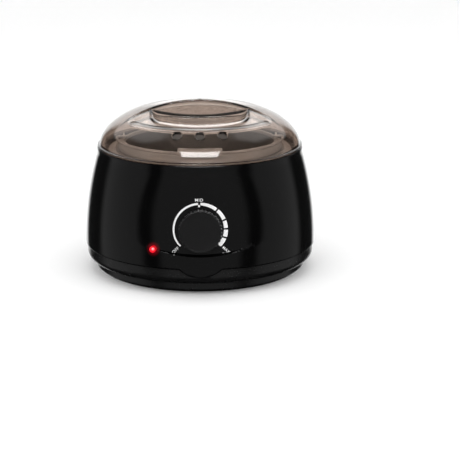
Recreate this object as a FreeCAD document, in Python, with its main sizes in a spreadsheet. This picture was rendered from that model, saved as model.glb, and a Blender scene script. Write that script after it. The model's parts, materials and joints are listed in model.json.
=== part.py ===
import FreeCAD, Part
import math
import os

import Sketcher
from FreeCAD import Placement, Rotation, Vector

# A round table-top wax warmer, in millimetres. +Z is up, the dial faces -Y, and the origin is on the
# vertical axis of the body at the level of the table.
# Every driving size is one cell of the sheet "Sizes". Positions and fits are worked out from them.

SIZES = {
    # heights above the table
    "foot_drop": 1.0,
    "seam_height": 22.0,
    "barrel_height": 78.4,
    # outer housing
    "seam_radius": 92.9,
    "rim_inset": 10.5,
    "rim_band": 4.9,
    "shell_wall": 2.5,
    "seam_gap": 0.5,
    "ledge_depth": 5.4,
    "ledge_width": 3.4,
    "ledge_web": 2.5,
    # flattened front panel and the sloping shelf under it
    "shelf_lift": 10.0,
    "shelf_slope": 36.0,
    "panel_sink": 2.05,
    "panel_tilt": 8.0,
    "panel_bend": 130.0,
    # alignment tongue of the housing in the base
    "tongue_radius": 25.0,
    "tongue_drop": 6.4,
    "tongue_gap": 0.3,
    # base cover
    "base_step": 1.3,
    "base_height": 12.5,
    "base_round": 6.3,
    "plinth_inset": 7.0,
    "plinth_draft": 7.2,
    "plinth_rise": 3.4,
    "plinth_round": 6.9,
    "plate_wall": 2.4,
    "spigot_height": 3.5,
    "spigot_wall": 2.0,
    # rubber feet
    "foot_radius": 7.0,
    "foot_margin": 10.4,
    "foot_pocket": 1.2,
    # screws and their posts
    "post_gap": 0.8,
    "post_radius": 3.6,
    "post_play": 0.2,
    "post_drop": 8.5,
    "rib_wall": 2.2,
    "rib_lift": 8.0,
    "screw_radius": 1.5,
    "screw_head": 3.0,
    "screw_length": 16.0,
    "head_height": 2.0,
    # top deck between rim and pot
    "deck_wall": 2.5,
    "deck_skirt": 5.0,
    "deck_play": 0.3,
    # heating chamber, band heater, clamp and insulation
    "deck_span": 19.9,
    "chamber_depth": 55.6,
    "chamber_wall": 1.5,
    "chamber_base": 2.5,
    "chamber_round": 4.0,
    "chamber_play": 0.6,
    "flange_width": 4.0,
    "flange_wall": 1.0,
    "heater_wall": 1.2,
    "heater_lift": 8.1,
    "heater_margin": 5.0,
    "clamp_wall": 0.8,
    "clamp_height": 10.0,
    "insulation_wall": 3.0,
    "insulation_lift": 4.1,
    "insulation_gap": 1.0,
    "insulation_play": 0.2,
    "insulation_opening": 30.0,
    # bracket that carries the chamber
    "bracket_wall": 1.4,
    "bracket_width": 16.0,
    "bracket_inset": 24.0,
    "bracket_foot": 16.0,
    "boss_radius": 4.5,
    "boss_height": 8.6,
    # removable pot
    "pot_play": 1.5,
    "pot_wall": 1.0,
    "pot_taper": 1.5,
    "pot_rise": 6.1,
    "pot_corner": 3.0,
    "pot_lip": 2.2,
    "pot_edge": 0.3,
    "pot_lift": 0.6,
    "skirt_reach": 5.2,
    "skirt_edge": 1.1,
    "rest_gap": 0.2,
    # bail of the pot
    "bail_reach": 5.5,
    "bail_rest": 0.2,
    "pivot_rise": 1.6,
    "wire_radius": 1.2,
    "wire_bend": 3.0,
    "wire_over": 1.4,
    "wire_play": 0.06,
    "ear_inset": 0.4,
    "ear_wall": 1.2,
    "ear_width": 6.0,
    "grip_angle": 28.6,
    "grip_height": 5.2,
    "grip_rise": 1.0,
    "grip_wall": 1.0,
    # smoked lid
    "bead_ledge": 1.7,
    "dome_height": 37.1,
    "dome_wall": 2.0,
    "bead_height": 1.8,
    "lip_wall": 1.8,
    "lip_drop": 2.4,
    "lip_play": 0.6,
    # finger scoops of the lid
    "scoop_depth": 14.5,
    "scoop_half": 38.5,
    "scoop_dish": 256.0,
    "scoop_corner": 7.0,
    "scoop_rise": 3.1,
    "rib_half": 3.5,
    "rib_bend": 106.0,
    "rib_draft": 9.5,
    "brow_radius": 58.0,
    "brow_sink": 0.2,
    "brow_bend": 170.0,
    # moulding nub on the crest of the rib
    "nub_radius": 1.3,
    "nub_rise": 0.5,
    # steam vents of the lid
    "vent_radius": 3.6,
    "vent_inset": 13.2,
    "vent_angle": 15.0,
    # dial: its centre above the shelf, and the knob
    "dial_lift": 20.2,
    "knob_radius": 16.5,
    "knob_height": 14.0,
    "knob_gap": 0.5,
    "dial_pad": 0.6,
    "dial_pad_radius": 13.2,
    "dial_seat": 3.6,
    "dial_seat_radius": 8.0,
    "knob_wall": 2.3,
    "knob_face": 3.4,
    "knob_round": 1.6,
    "hub_radius": 5.0,
    "flute_count": 36,
    "flute_radius": 0.75,
    # thermostat behind the panel
    "shaft_radius": 3.0,
    "shaft_flat": 1.0,
    "shaft_play": 0.05,
    "bush_radius": 4.5,
    "bush_play": 0.2,
    "bush_reach": 3.2,
    "nut_radius": 6.6,
    "nut_height": 2.0,
    "thermostat_width": 28.0,
    "thermostat_height": 24.0,
    "thermostat_depth": 10.5,
    "clip_wall": 0.5,
    # indicator lamp
    "lamp_offset": 36.1,
    "lamp_lift": 4.8,
    "lens_radius": 2.55,
    "lens_play": 0.15,
    "lens_reach": 0.6,
    "lamp_pad": 4.6,
    "lamp_pad_radius": 5.4,
    "holder_radius": 4.6,
    "holder_length": 9.0,
    # thermal fuse under the chamber
    "fuse_radius": 2.2,
    "fuse_length": 14.0,
    "fuse_offset": 25.0,
    # terminal block
    "block_width": 34.0,
    "block_depth": 14.0,
    "block_height": 12.0,
    "block_offset": 52.0,
    "tube_radius": 2.4,
    "tube_pitch": 10.0,
    # cord inlet at the back
    "inlet_lift": 14.0,
    "inlet_bore": 3.6,
    "inlet_neck": 5.8,
    "inlet_flange": 8.0,
    "inlet_wall": 2.4,
    "inlet_nut": 3.0,
    "inlet_sink": 0.93,
    "inlet_pad": 4.2,
    # internal leads
    "lead_radius": 1.1,
    "lead_bend": 5.0,
    "lead_rise": 12.0,
    "lead_run": 14.0,
    "lead_end": 1.5,
    "lead_side": 6.0,
    # how far a cutting tool runs past what it cuts
    "overshoot": 20.0,
}

doc = FreeCAD.newDocument("wax_warmer")
sheet = doc.addObject("Spreadsheet::Sheet", "Sizes")
for row, (name, number) in enumerate(SIZES.items(), start=1):
    sheet.set(f"A{row}", name)
    sheet.set(f"B{row}", str(number))
    sheet.setAlias(f"B{row}", name)
doc.recompute()


class Dim:
    """A size with its value and the expression that gives it from the sheet."""

    def __init__(self, text, value):
        self.text = text
        self.value = value

    @staticmethod
    def of(other):
        return other if isinstance(other, Dim) else Dim(repr(float(other)), float(other))

    def __add__(self, other):
        other = Dim.of(other)
        return Dim(f"({self.text} + {other.text})", self.value + other.value)

    def __sub__(self, other):
        other = Dim.of(other)
        return Dim(f"({self.text} - {other.text})", self.value - other.value)

    def __mul__(self, other):
        other = Dim.of(other)
        return Dim(f"({self.text} * {other.text})", self.value * other.value)

    def __truediv__(self, other):
        other = Dim.of(other)
        return Dim(f"({self.text} / {other.text})", self.value / other.value)

    def __neg__(self):
        return Dim(f"(0 - {self.text})", -self.value)

    def __radd__(self, other):
        return Dim.of(other) + self

    def __rsub__(self, other):
        return Dim.of(other) - self

    def __rmul__(self, other):
        return Dim.of(other) * self


ZERO = Dim.of(0)


def size(name):
    return Dim(f"Sizes.{name}", float(SIZES[name]))


def root(dim):
    return Dim(f"sqrt({dim.text})", math.sqrt(dim.value))


def sine(dim):
    return Dim(f"sin({dim.text} * 1 deg)", math.sin(math.radians(dim.value)))


def cosine(dim):
    return Dim(f"cos({dim.text} * 1 deg)", math.cos(math.radians(dim.value)))


def tangent(dim):
    return Dim(f"tan({dim.text} * 1 deg)", math.tan(math.radians(dim.value)))


def bind(obj, **values):
    """Ties each property to the sheet."""
    for name, value in values.items():
        value = Dim.of(value)
        setattr(obj, name, value.value)
        obj.setExpression(name, value.text)
    return obj


def place(obj, x=0, y=0, z=0, axis=None, angle=0):
    """Puts an object at a point, turned by an angle about an axis, all tied to the sheet."""
    x, y, z, angle = Dim.of(x), Dim.of(y), Dim.of(z), Dim.of(angle)
    turn = Rotation(axis, angle.value) if axis else Rotation()
    obj.Placement = Placement(Vector(x.value, y.value, z.value), turn)
    for name, value in (("x", x), ("y", y), ("z", z)):
        obj.setExpression(f"Placement.Base.{name}", value.text)
    if axis and "Sizes" in angle.text:
        obj.setExpression("Placement.Rotation.Angle", angle.text)
    return obj


def cylinder(name, radius, height, **where):
    obj = doc.addObject("Part::Cylinder", name)
    bind(obj, Radius=radius, Height=height)
    return place(obj, **where)


def cone(name, low, high, height, **where):
    obj = doc.addObject("Part::Cone", name)
    bind(obj, Radius1=low, Radius2=high, Height=height)
    return place(obj, **where)


def box(name, length, width, height, **where):
    obj = doc.addObject("Part::Box", name)
    bind(obj, Length=length, Width=width, Height=height)
    return place(obj, **where)


def cut(name, base, tool):
    obj = doc.addObject("Part::Cut", name)
    obj.Base, obj.Tool = base, tool
    return obj


def fuse(name, *shapes):
    obj = doc.addObject("Part::MultiFuse", name)
    obj.Shapes = list(shapes)
    return obj


def common(name, *shapes):
    obj = doc.addObject("Part::MultiCommon", name)
    obj.Shapes = list(shapes)
    return obj


def group(name, shapes):
    obj = doc.addObject("Part::Compound", name)
    obj.Links = list(shapes)
    return obj


def origin_plane(body, role):
    return next(f for f in body.Origin.OriginFeatures if f.Role == role)


def closed_sketch(body, name, plane, outline):
    """A closed outline on an origin plane of the body.

    Each entry is (across, up) for a straight edge that ends there, or (across, up, radius) for an arc
    that ends there: a positive radius turns left on the way, a negative one turns right.
    """
    sketch = body.newObject("Sketcher::SketchObject", name)
    sketch.AttachmentSupport = [(origin_plane(body, plane), "")]
    sketch.MapMode = "FlatFace"
    points = [(Dim.of(p[0]), Dim.of(p[1])) for p in outline]
    ends = []
    for i, entry in enumerate(outline):
        (ax, ay), (bx, by) = points[i - 1], points[i]
        start, end = Vector(ax.value, ay.value, 0), Vector(bx.value, by.value, 0)
        if len(entry) == 2:
            geo = sketch.addGeometry(Part.LineSegment(start, end))
            ends.append((geo, 1, 2))
            continue
        radius = Dim.of(entry[2])
        left = radius.value > 0
        size_of = abs(radius.value)
        middle, chord = (start + end) / 2, end - start
        side = Vector(-chord.y, chord.x, 0).normalize() * (1 if left else -1)
        centre = middle + side * math.sqrt(size_of**2 - (chord.Length / 2) ** 2)
        first, last = (start, end) if left else (end, start)
        angles = [math.atan2(v.y - centre.y, v.x - centre.x) for v in (first, last)]
        circle = Part.Circle(centre, Vector(0, 0, 1), size_of)
        geo = sketch.addGeometry(Part.ArcOfCircle(circle, *angles))
        ends.append((geo, 1, 2) if left else (geo, 2, 1))
        number = sketch.addConstraint(Sketcher.Constraint("Radius", geo, size_of))
        text = radius.text if left else (-radius).text
        sketch.setExpression(f"Constraints[{number}]", text)
    for i, (geo, _, end) in enumerate(ends):
        following, start, _ = ends[(i + 1) % len(ends)]
        sketch.addConstraint(Sketcher.Constraint("Coincident", geo, end, following, start))
        for kind, axis, value in (("DistanceX", -2, points[i][0]), ("DistanceY", -1, points[i][1])):
            if abs(value.value) < 1e-9:
                sketch.addConstraint(Sketcher.Constraint("PointOnObject", geo, end, axis))
                continue
            tie = Sketcher.Constraint(kind, -1, 1, geo, end, value.value)
            sketch.setExpression(f"Constraints[{sketch.addConstraint(tie)}]", value.text)
    return sketch


def turned(name, outline):
    """A body turned about the vertical axis from a half section of (radius, height) points."""
    body = doc.addObject("PartDesign::Body", name)
    sketch = closed_sketch(body, f"{name}_section", "XZ_Plane", outline)
    turn = body.newObject("PartDesign::Revolution", f"{name}_turn")
    turn.Profile = sketch
    turn.ReferenceAxis = (sketch, ["V_Axis"])
    turn.Angle = 360.0
    doc.recompute()
    return body


def slab(name, plane, outline, length):
    """A body padded evenly to both sides of an origin plane."""
    body = doc.addObject("PartDesign::Body", name)
    sketch = closed_sketch(body, f"{name}_outline", plane, outline)
    pad = body.newObject("PartDesign::Pad", f"{name}_pad")
    pad.Profile = sketch
    pad.SideType = "Symmetric"
    bind(pad, Length=length)
    doc.recompute()
    return body


def around(count, offset=0.0):
    """The directions of evenly spaced copies around the vertical axis, in degrees."""
    return [offset + 360.0 * i / count for i in range(count)]


def polar(circle, degrees):
    """The X and Y of a point on a circle about the vertical axis."""
    return circle * math.cos(math.radians(degrees)), circle * math.sin(math.radians(degrees))


NODES = []


def node(obj, label):
    obj.Label = label
    NODES.append(obj)
    return obj


X_AXIS, Y_AXIS, Z_AXIS = Vector(1, 0, 0), Vector(0, 1, 0), Vector(0, 0, 1)

# Heights, radii and planes that several pieces share.
seam_height, seam_radius, shell_wall = size("seam_height"), size("seam_radius"), size("shell_wall")
rim_height = seam_height + size("barrel_height")
rim_radius = seam_radius - size("rim_inset")
band_start = rim_height - size("rim_band")
bow_run, bow_fall = band_start - seam_height, size("rim_inset")
barrel_bend = (bow_run * bow_run + bow_fall * bow_fall) / (bow_fall * 2)
overshoot = size("overshoot")
underside = size("foot_drop")
plate_top = underside + size("plate_wall")
base_top = seam_height - size("seam_gap")
ledge_top = rim_height - size("ledge_depth")
ledge_low = ledge_top - size("ledge_web")
ledge_inner = rim_radius - shell_wall - size("ledge_width")
deck_top = ledge_top + size("deck_wall")
chamber_wall = size("chamber_wall")
chamber_radius = rim_radius - size("deck_span")
chamber_outer = chamber_radius + chamber_wall
chamber_floor = deck_top - size("chamber_depth")
flange_top = deck_top + size("flange_wall")
rest_gap = size("rest_gap")
lid_base = rim_height + rest_gap
# The heater and its insulation lie round the chamber, and the screw posts stand outside them.
heater_start = chamber_floor + size("heater_lift")
insulation_start = chamber_floor + size("insulation_lift")
insulation_top = ledge_top - size("deck_skirt") - size("insulation_gap")
heater_height = insulation_top - size("heater_margin") - heater_start
strap_inner = chamber_outer + size("heater_wall")
insulation_inner = strap_inner + size("clamp_wall") + size("insulation_play")
post_circle = insulation_inner + size("insulation_wall") + size("post_gap") + size("post_radius")
# The base is set in from the housing, and its plinth from the base.
base_radius = seam_radius - size("base_step")
plinth_radius = base_radius - size("plinth_inset")
plinth_foot = plinth_radius - size("plinth_draft")
foot_circle = plinth_foot - size("foot_radius") - size("foot_margin")
# The pot hangs in the chamber by its skirt, and its bail reaches past the skirt.
pot_radius = chamber_radius - size("pot_play")
pot_crest = flange_top + size("pot_rise")
bail_radius = pot_radius + size("bail_reach")
ear_inner = pot_radius - size("ear_inset")


def barrel_radius(height):
    """The radius of the barrel's outside at a height, from its bend."""
    run = height - seam_height
    return seam_radius - (barrel_bend - root(barrel_bend * barrel_bend - run * run))


# The panel is a wide cone about an axis behind the body, so that it is flatter than the barrel.
shelf_height = seam_height + size("shelf_lift")
panel_slope = tangent(size("panel_tilt"))
panel_bend = size("panel_bend")
panel_low = barrel_radius(shelf_height) - size("panel_sink")
panel_axis = panel_bend - panel_low


def panel_front(height):
    """How far in front of the axis the panel lies at a height, on the middle plane."""
    return panel_low - (height - shelf_height) * panel_slope


def panel_cutter(name, inset, height):
    """What is taken off the barrel in front of the panel and above the sloping shelf, up to a height.

    An inset moves the panel and the shelf inwards, for the inside of the wall.
    """
    slope = tangent(size("shelf_slope"))
    low = shelf_height - inset / cosine(size("shelf_slope"))
    front, back = seam_radius + overshoot, panel_low / 2
    edge = barrel_radius(shelf_height)
    block = slab(
        f"{name}_block",
        "YZ_Plane",
        [
            (-front, low - (front - edge) * slope),
            (-back, low + (edge - back) * slope),
            (-back, height),
            (-front, height),
        ],
        seam_radius * 2,
    )
    start = low - (front - edge) * slope - overshoot
    end = height + overshoot
    core = cone(
        f"{name}_core",
        panel_bend - inset + (shelf_height - start) * panel_slope,
        panel_bend - inset - (end - shelf_height) * panel_slope,
        end - start,
        y=panel_axis,
        z=start,
    )
    return cut(f"{name}_cutter", block, core)


def tongue_shape(name, play):
    """A lying cylinder whose lower arc is the outline of the alignment tongue, at the front."""
    radius = size("tongue_radius")
    middle = seam_height - size("tongue_drop") + radius
    return cylinder(name, radius + play, seam_radius + overshoot, z=middle, axis=X_AXIS, angle=90)


def outer_housing():
    """The barrel shell: wall, rim, inner ledge for the deck, screw posts and alignment tongue."""
    barrel = turned(
        "barrel",
        [
            (0, seam_height),
            (seam_radius, seam_height),
            (rim_radius, band_start, barrel_bend),
            (rim_radius, rim_height),
            (0, rim_height),
        ],
    )
    inner_top = barrel_radius(ledge_low) - shell_wall
    hollow = turned(
        "hollow",
        [
            (0, seam_height - overshoot),
            (seam_radius - shell_wall, seam_height - overshoot),
            (seam_radius - shell_wall, seam_height),
            (inner_top, ledge_low, barrel_bend),
            (ledge_inner, ledge_low),
            (ledge_inner, ledge_top),
            (rim_radius - shell_wall, ledge_top),
            (rim_radius - shell_wall, rim_height + overshoot),
            (0, rim_height + overshoot),
        ],
    )
    faced = cut("faced_barrel", barrel, panel_cutter("panel", ZERO, band_start))
    backed = cut("backed_hollow", hollow, panel_cutter("panel_back", shell_wall, ledge_low))
    wall = cut("housing_wall", faced, backed)
    posts, ribs, holes = [], [], []
    post_radius, rib_wall = size("post_radius"), size("rib_wall")
    post_top = ledge_low - size("post_drop")
    rib_low = seam_height + size("rib_lift")
    for i, turn in enumerate(around(4, 45)):
        x, y = polar(post_circle, turn)
        posts.append(cylinder(f"post_{i}", post_radius, post_top - plate_top, x=x, y=y, z=plate_top))
        rib = box(
            f"rib_{i}",
            seam_radius - post_circle,
            rib_wall,
            post_top - rib_low,
            x=x + rib_wall / 2 * math.sin(math.radians(turn)),
            y=y - rib_wall / 2 * math.cos(math.radians(turn)),
            z=rib_low,
            axis=Z_AXIS,
            angle=turn,
        )
        ribs.append(common(f"rib_{i}_inside", rib, faced))
        pilot = size("screw_length") + 2
        holes.append(cylinder(f"pilot_{i}", size("screw_radius"), pilot, x=x, y=y, z=plate_top))
    tongue_low = seam_height - size("tongue_drop")
    tongue_tall = size("tongue_drop") + 1
    tongue_ring = cut(
        "tongue_ring",
        cylinder("tongue_outside", seam_radius, tongue_tall, z=tongue_low),
        cylinder("tongue_inside", seam_radius - shell_wall, tongue_tall, z=tongue_low),
    )
    tongue = common("tongue", tongue_ring, tongue_shape("tongue_shape", ZERO))
    at_inlet = {"z": inlet_height, "axis": X_AXIS, "angle": 90}
    inlet_pad = size("inlet_pad")
    pad_radius = size("inlet_flange") + 0.8
    dial_seat, lamp_pad = size("dial_seat"), size("lamp_pad")
    pads = [
        cylinder("dial_pad", size("dial_pad_radius"), size("dial_pad") + 1.5, **on_dial(-1.5)),
        cylinder("dial_seat", size("dial_seat_radius"), dial_seat - 1, **on_dial(-dial_seat)),
        cylinder("lamp_seat", size("lamp_pad_radius"), lamp_pad - 1, **on_lamp(-lamp_pad)),
        cylinder("inlet_seat", pad_radius, inlet_pad, y=inlet_seat, **at_inlet),
    ]
    shell = fuse("housing_shell", wall, tongue, *posts, *ribs, *pads)
    play = size("lens_play")
    dial_bore, lamp_bore = size("bush_radius") + size("bush_play"), size("lens_radius") + play
    dial = cylinder("dial_hole", dial_bore, overshoot * 2, **on_dial(-overshoot))
    lamp = cylinder("lamp_hole", lamp_bore, overshoot * 2, **on_lamp(-overshoot))
    inlet_out = inlet_seat + overshoot
    inlet = cylinder("inlet_hole", size("inlet_neck") + play, overshoot * 2, y=inlet_out, **at_inlet)
    spot = cylinder("inlet_spot", size("inlet_flange") + 0.3, overshoot, y=inlet_out, **at_inlet)
    drilled = fuse("housing_holes", dial, lamp, inlet, spot, *holes)
    return node(cut("housing", shell, drilled), "outer_housing")


# The dial's own frame: its Z axis leaves the panel at right angles, through the dial's centre.
dial_height = shelf_height + size("dial_lift")
dial_lean = 90 - size("panel_tilt")


def on_dial(along, across=0):
    """Placement of something on the dial's axis, a distance out of the panel."""
    along = Dim.of(along)
    y = -panel_front(dial_height) - along * cosine(size("panel_tilt"))
    z = dial_height + along * sine(size("panel_tilt"))
    return {"x": across, "y": y, "z": z, "axis": X_AXIS, "angle": dial_lean}


# The lamp points straight out of the barrel, beside the dial. Its offset is to the left.
lamp_height = shelf_height + size("lamp_lift")
lamp_radius = barrel_radius(lamp_height)
lamp_turn = math.degrees(math.asin(SIZES["lamp_offset"] / lamp_radius.value))
lamp_facing = Rotation(Z_AXIS, -lamp_turn) * Rotation(X_AXIS, 90)


def on_lamp(along):
    """Placement of something on the lamp's axis, a distance out of the barrel's outside."""
    out = (lamp_radius + along) / lamp_radius
    depth = root(lamp_radius * lamp_radius - size("lamp_offset") * size("lamp_offset"))
    return {
        "x": -(size("lamp_offset") * out),
        "y": -(depth * out),
        "z": lamp_height,
        "axis": lamp_facing.Axis,
        "angle": math.degrees(lamp_facing.Angle),
    }


# The cord inlet lies in a flat seat that is cut into the barrel at the back.
inlet_height = seam_height + size("inlet_lift")
inlet_seat = barrel_radius(inlet_height) - size("inlet_sink")


def base_cover():
    """The bottom pan: band under the seam, recessed plinth, floor plate, spigot and bosses."""
    plate, plinth = size("plate_wall"), plinth_radius
    round_off, band_low = size("base_round"), seam_height - size("base_height")
    rise = size("plinth_rise")
    plate_reach = post_circle + size("post_radius") + size("post_play")
    spigot_outer = seam_radius - shell_wall - size("tongue_gap")
    spigot_inner = spigot_outer - size("spigot_wall")
    spigot_top = base_top + size("spigot_height")
    pan = turned(
        "pan",
        [
            (0, underside),
            (plinth_foot, underside),
            (plinth, underside + rise, size("plinth_round")),
            (plinth, band_low),
            (base_radius - round_off, band_low),
            (base_radius, band_low + round_off, round_off),
            (base_radius, base_top),
            (spigot_outer, base_top),
            (spigot_outer, spigot_top),
            (spigot_inner, spigot_top),
            (spigot_inner, band_low + round_off),
            (base_radius - round_off, band_low + plate),
            (plinth - plate, band_low + plate),
            (plinth - plate, plate_top + rise),
            (plate_reach, plate_top),
            (0, plate_top),
        ],
    )
    additions, cuts = [pan], []
    for i, side in enumerate((-1, 1)):
        x = bracket_screw_x * side
        tall = size("boss_height")
        additions.append(cylinder(f"boss_{i}", size("boss_radius"), tall, x=x, z=plate_top))
        cuts.append(cylinder(f"boss_pilot_{i}", size("screw_radius"), tall, x=x, z=plate_top))
    pocket = size("foot_pocket")
    for i, turn in enumerate(around(4)):
        x, y = polar(foot_circle, turn)
        cuts.append(cylinder(f"foot_pocket_{i}", size("foot_radius"), pocket, x=x, y=y, z=underside))
    for i, turn in enumerate(around(4, 45)):
        x, y = polar(post_circle, turn)
        clear, sink = size("screw_radius") + 0.2, size("screw_head") + 0.3
        cuts.append(cylinder(f"screw_way_{i}", clear, plate_top + 1, x=x, y=y))
        cuts.append(cylinder(f"screw_sink_{i}", sink, pocket, x=x, y=y, z=underside))
    notch_ring = cut(
        "notch_ring",
        cylinder("notch_outside", seam_radius + overshoot, seam_height),
        cylinder("notch_inside", spigot_outer, seam_height),
    )
    notch = common("notch", notch_ring, tongue_shape("notch_shape", size("tongue_gap")))
    solid = fuse("pan_with_bosses", *additions)
    return node(cut("base", solid, fuse("pan_cuts", notch, *cuts)), "base_cover")


def rubber_feet():
    feet = []
    for i, turn in enumerate(around(4)):
        x, y = polar(foot_circle, turn)
        tall = underside + size("foot_pocket")
        feet.append(cylinder(f"foot_{i}", size("foot_radius"), tall, x=x, y=y))
    return node(group("feet", feet), "rubber_feet")


def screw(name, x, y, seat, up):
    """A pan-head screw whose head rests on a seat. up is 1 where it is driven upwards, -1 downwards."""
    length, head = size("screw_length"), size("head_height")
    low_shank = seat if up > 0 else seat - length
    low_head = seat - head if up > 0 else seat
    shank = cylinder(f"{name}_shank", size("screw_radius"), length, x=x, y=y, z=low_shank)
    top = cylinder(f"{name}_head", size("screw_head"), head, x=x, y=y, z=low_head)
    return fuse(name, shank, top)


def base_screws():
    screws = []
    for i, turn in enumerate(around(4, 45)):
        x, y = polar(post_circle, turn)
        screws.append(screw(f"base_screw_{i}", x, y, underside + size("foot_pocket"), 1))
    return node(group("base_screw_set", screws), "base_screws")


def deck_ring():
    """The flat ring between the rim and the pot, with a short skirt that stiffens it."""
    bore = chamber_outer + size("chamber_play")
    outer = rim_radius - shell_wall - size("deck_play")
    skirt = ledge_top - size("deck_skirt")
    ring = turned(
        "deck",
        [
            (bore, skirt),
            (bore + 2, skirt),
            (bore + 2, ledge_top),
            (outer, ledge_top),
            (outer, deck_top),
            (bore, deck_top),
        ],
    )
    return node(ring, "deck_ring")


def heating_chamber():
    """The fixed aluminium well that takes the pot, hanging by its flange on the deck."""
    bend = size("chamber_round")
    inside = bend - chamber_wall
    floor = chamber_floor + size("chamber_base")
    well = turned(
        "chamber",
        [
            (0, chamber_floor),
            (chamber_outer - bend, chamber_floor),
            (chamber_outer, chamber_floor + bend, bend),
            (chamber_outer, deck_top),
            (chamber_outer + size("flange_width"), deck_top),
            (chamber_outer + size("flange_width"), flange_top),
            (chamber_radius, flange_top),
            (chamber_radius, floor + inside),
            (chamber_radius - inside, floor, -inside),
            (0, floor),
        ],
    )
    return node(well, "heating_chamber")


def band(name, inner, wall, start, height, opening=0.0):
    """A band round the chamber, with an opening at the back if one is given."""
    outside = cylinder(f"{name}_outside", inner + wall, height, z=start)
    inside = cylinder(f"{name}_inside", inner, height, z=start)
    ring = cut(f"{name}_ring", outside, inside)
    if not Dim.of(opening).value:
        return ring
    far = seam_radius
    half = far * tangent(opening / 2)
    deep = (start + height + overshoot) * 2
    wedge = slab(f"{name}_wedge", "XY_Plane", [(0, 0), (half, far), (-half, far)], deep)
    return cut(name, ring, wedge)


def heater_parts():
    heater_wall, clamp_wall = size("heater_wall"), size("clamp_wall")
    node(band("heater", chamber_outer, heater_wall, heater_start, heater_height), "heater_band")
    inner = strap_inner
    middle = heater_start + heater_height / 2
    clamp_height = size("clamp_height")
    strap = band("clamp", inner, clamp_wall, middle - clamp_height / 2, clamp_height, Dim.of(6))
    lugs = []
    gap = (inner + clamp_wall) * sine(Dim.of(3)) + 0.3
    for i, side in enumerate((-1, 1)):
        lugs.append(
            box(
                f"clamp_lug_{i}", clamp_wall * 2, 8, clamp_height,
                x=gap if side > 0 else -gap - clamp_wall * 2, y=inner, z=middle - clamp_height / 2,
            )
        )
    lug_hole = cylinder(
        "lug_hole", size("screw_radius"), gap * 2 + clamp_wall * 8, x=-gap - clamp_wall * 4, y=inner + 4.5,
        z=middle, axis=Y_AXIS, angle=90,
    )
    node(cut("clamp_drilled", fuse("clamp_with_lugs", strap, *lugs), lug_hole), "heater_clamp")
    shank = cylinder(
        "clamp_bolt_shank", size("screw_radius"), gap * 2 + clamp_wall * 4 + 3, x=-gap - clamp_wall * 2,
        y=inner + 4.5, z=middle, axis=Y_AXIS, angle=90,
    )
    head = cylinder(
        "clamp_bolt_head", size("screw_head"), size("head_height"),
        x=-gap - clamp_wall * 2 - size("head_height"), y=inner + 4.5, z=middle, axis=Y_AXIS, angle=90,
    )
    node(fuse("clamp_bolt", shank, head), "clamp_bolt")
    tall, opening = insulation_top - insulation_start, size("insulation_opening")
    wool = band("insulation", insulation_inner, size("insulation_wall"), insulation_start, tall, opening)
    node(wool, "insulation_sleeve")


bracket_half = chamber_outer - size("bracket_inset")
bracket_screw_x = bracket_half + size("bracket_wall") + size("bracket_foot") / 2


def chamber_bracket():
    """A bent strap under the chamber, screwed to two bosses of the base."""
    wall, half, foot = size("bracket_wall"), bracket_half, size("bracket_foot")
    low = plate_top + size("boss_height")
    outer = half + wall
    strap = slab(
        "bracket",
        "XZ_Plane",
        [
            (-outer - foot, low),
            (-half, low),
            (-half, chamber_floor - wall),
            (half, chamber_floor - wall),
            (half, low),
            (outer + foot, low),
            (outer + foot, low + wall),
            (outer, low + wall),
            (outer, chamber_floor),
            (-outer, chamber_floor),
            (-outer, low + wall),
            (-outer - foot, low + wall),
        ],
        size("bracket_width"),
    )
    holes = [
        cylinder(f"bracket_hole_{i}", size("screw_radius"), 10, x=bracket_screw_x * side, z=low - 2)
        for i, side in enumerate((-1, 1))
    ]
    node(cut("bracket_drilled", strap, fuse("bracket_holes", *holes)), "chamber_bracket")
    seat, length = low + wall, size("boss_height")
    screws = []
    for i, side in enumerate((-1, 1)):
        x = bracket_screw_x * side
        shank = cylinder(f"bracket_shank_{i}", size("screw_radius"), length, x=x, z=seat - length)
        head = cylinder(f"bracket_head_{i}", size("screw_head"), size("head_height"), x=x, z=seat)
        screws.append(fuse(f"bracket_screw_{i}", shank, head))
    node(group("bracket_screw_set", screws), "bracket_screws")


def inner_pot():
    """The removable pot: a drawn bowl whose mouth is turned over into a sloping skirt."""
    radius, wall, crest = pot_radius, size("pot_wall"), pot_crest
    lip, edge, corner = size("pot_lip"), size("pot_edge"), size("pot_corner")
    low = chamber_floor + size("chamber_base") + size("pot_lift")
    narrow = radius - size("pot_taper")
    skirt_low = flange_top + rest_gap
    reach = radius + size("skirt_reach")
    bowl = turned(
        "pot",
        [
            (0, low),
            (narrow - corner, low),
            (narrow, low + corner, corner),
            (radius, crest - lip),
            (reach - size("skirt_edge"), skirt_low),
            (reach, skirt_low),
            (radius + 0.8, crest - edge),
            (radius, crest),
            (radius - wall, crest - edge),
            (narrow - wall, low + corner + 0.4),
            (narrow - wall - corner + 0.8, low + wall, -(corner - 0.6)),
            (0, low + wall),
        ],
    )
    return node(bowl, "inner_pot")


pivot_height = pot_crest + size("pivot_rise")


def bail_ears(pot):
    """Two upright ears on the crest of the pot, each with the hole for one end of the bail."""
    wall, width = size("ear_wall"), size("ear_width")
    low = pot_crest - 0.6
    hole = size("wire_radius") + size("wire_play")
    ears = []
    for i, side in enumerate((-1, 1)):
        x = ear_inner if side > 0 else -ear_inner - wall
        plate = box(f"ear_plate_{i}", wall, width, pivot_height - low, x=x, y=-width / 2, z=low)
        head = cylinder(f"ear_head_{i}", width / 2, wall, x=x, z=pivot_height, axis=Y_AXIS, angle=90)
        bore = cylinder(f"ear_bore_{i}", hole, wall * 4, x=x - wall, z=pivot_height, axis=Y_AXIS, angle=90)
        raw = cut(f"ear_drilled_{i}", fuse(f"ear_{i}", plate, head), bore)
        ears.append(cut(f"ear_seated_{i}", raw, pot))
    return node(group("ears", ears), "bail_ears")


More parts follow.
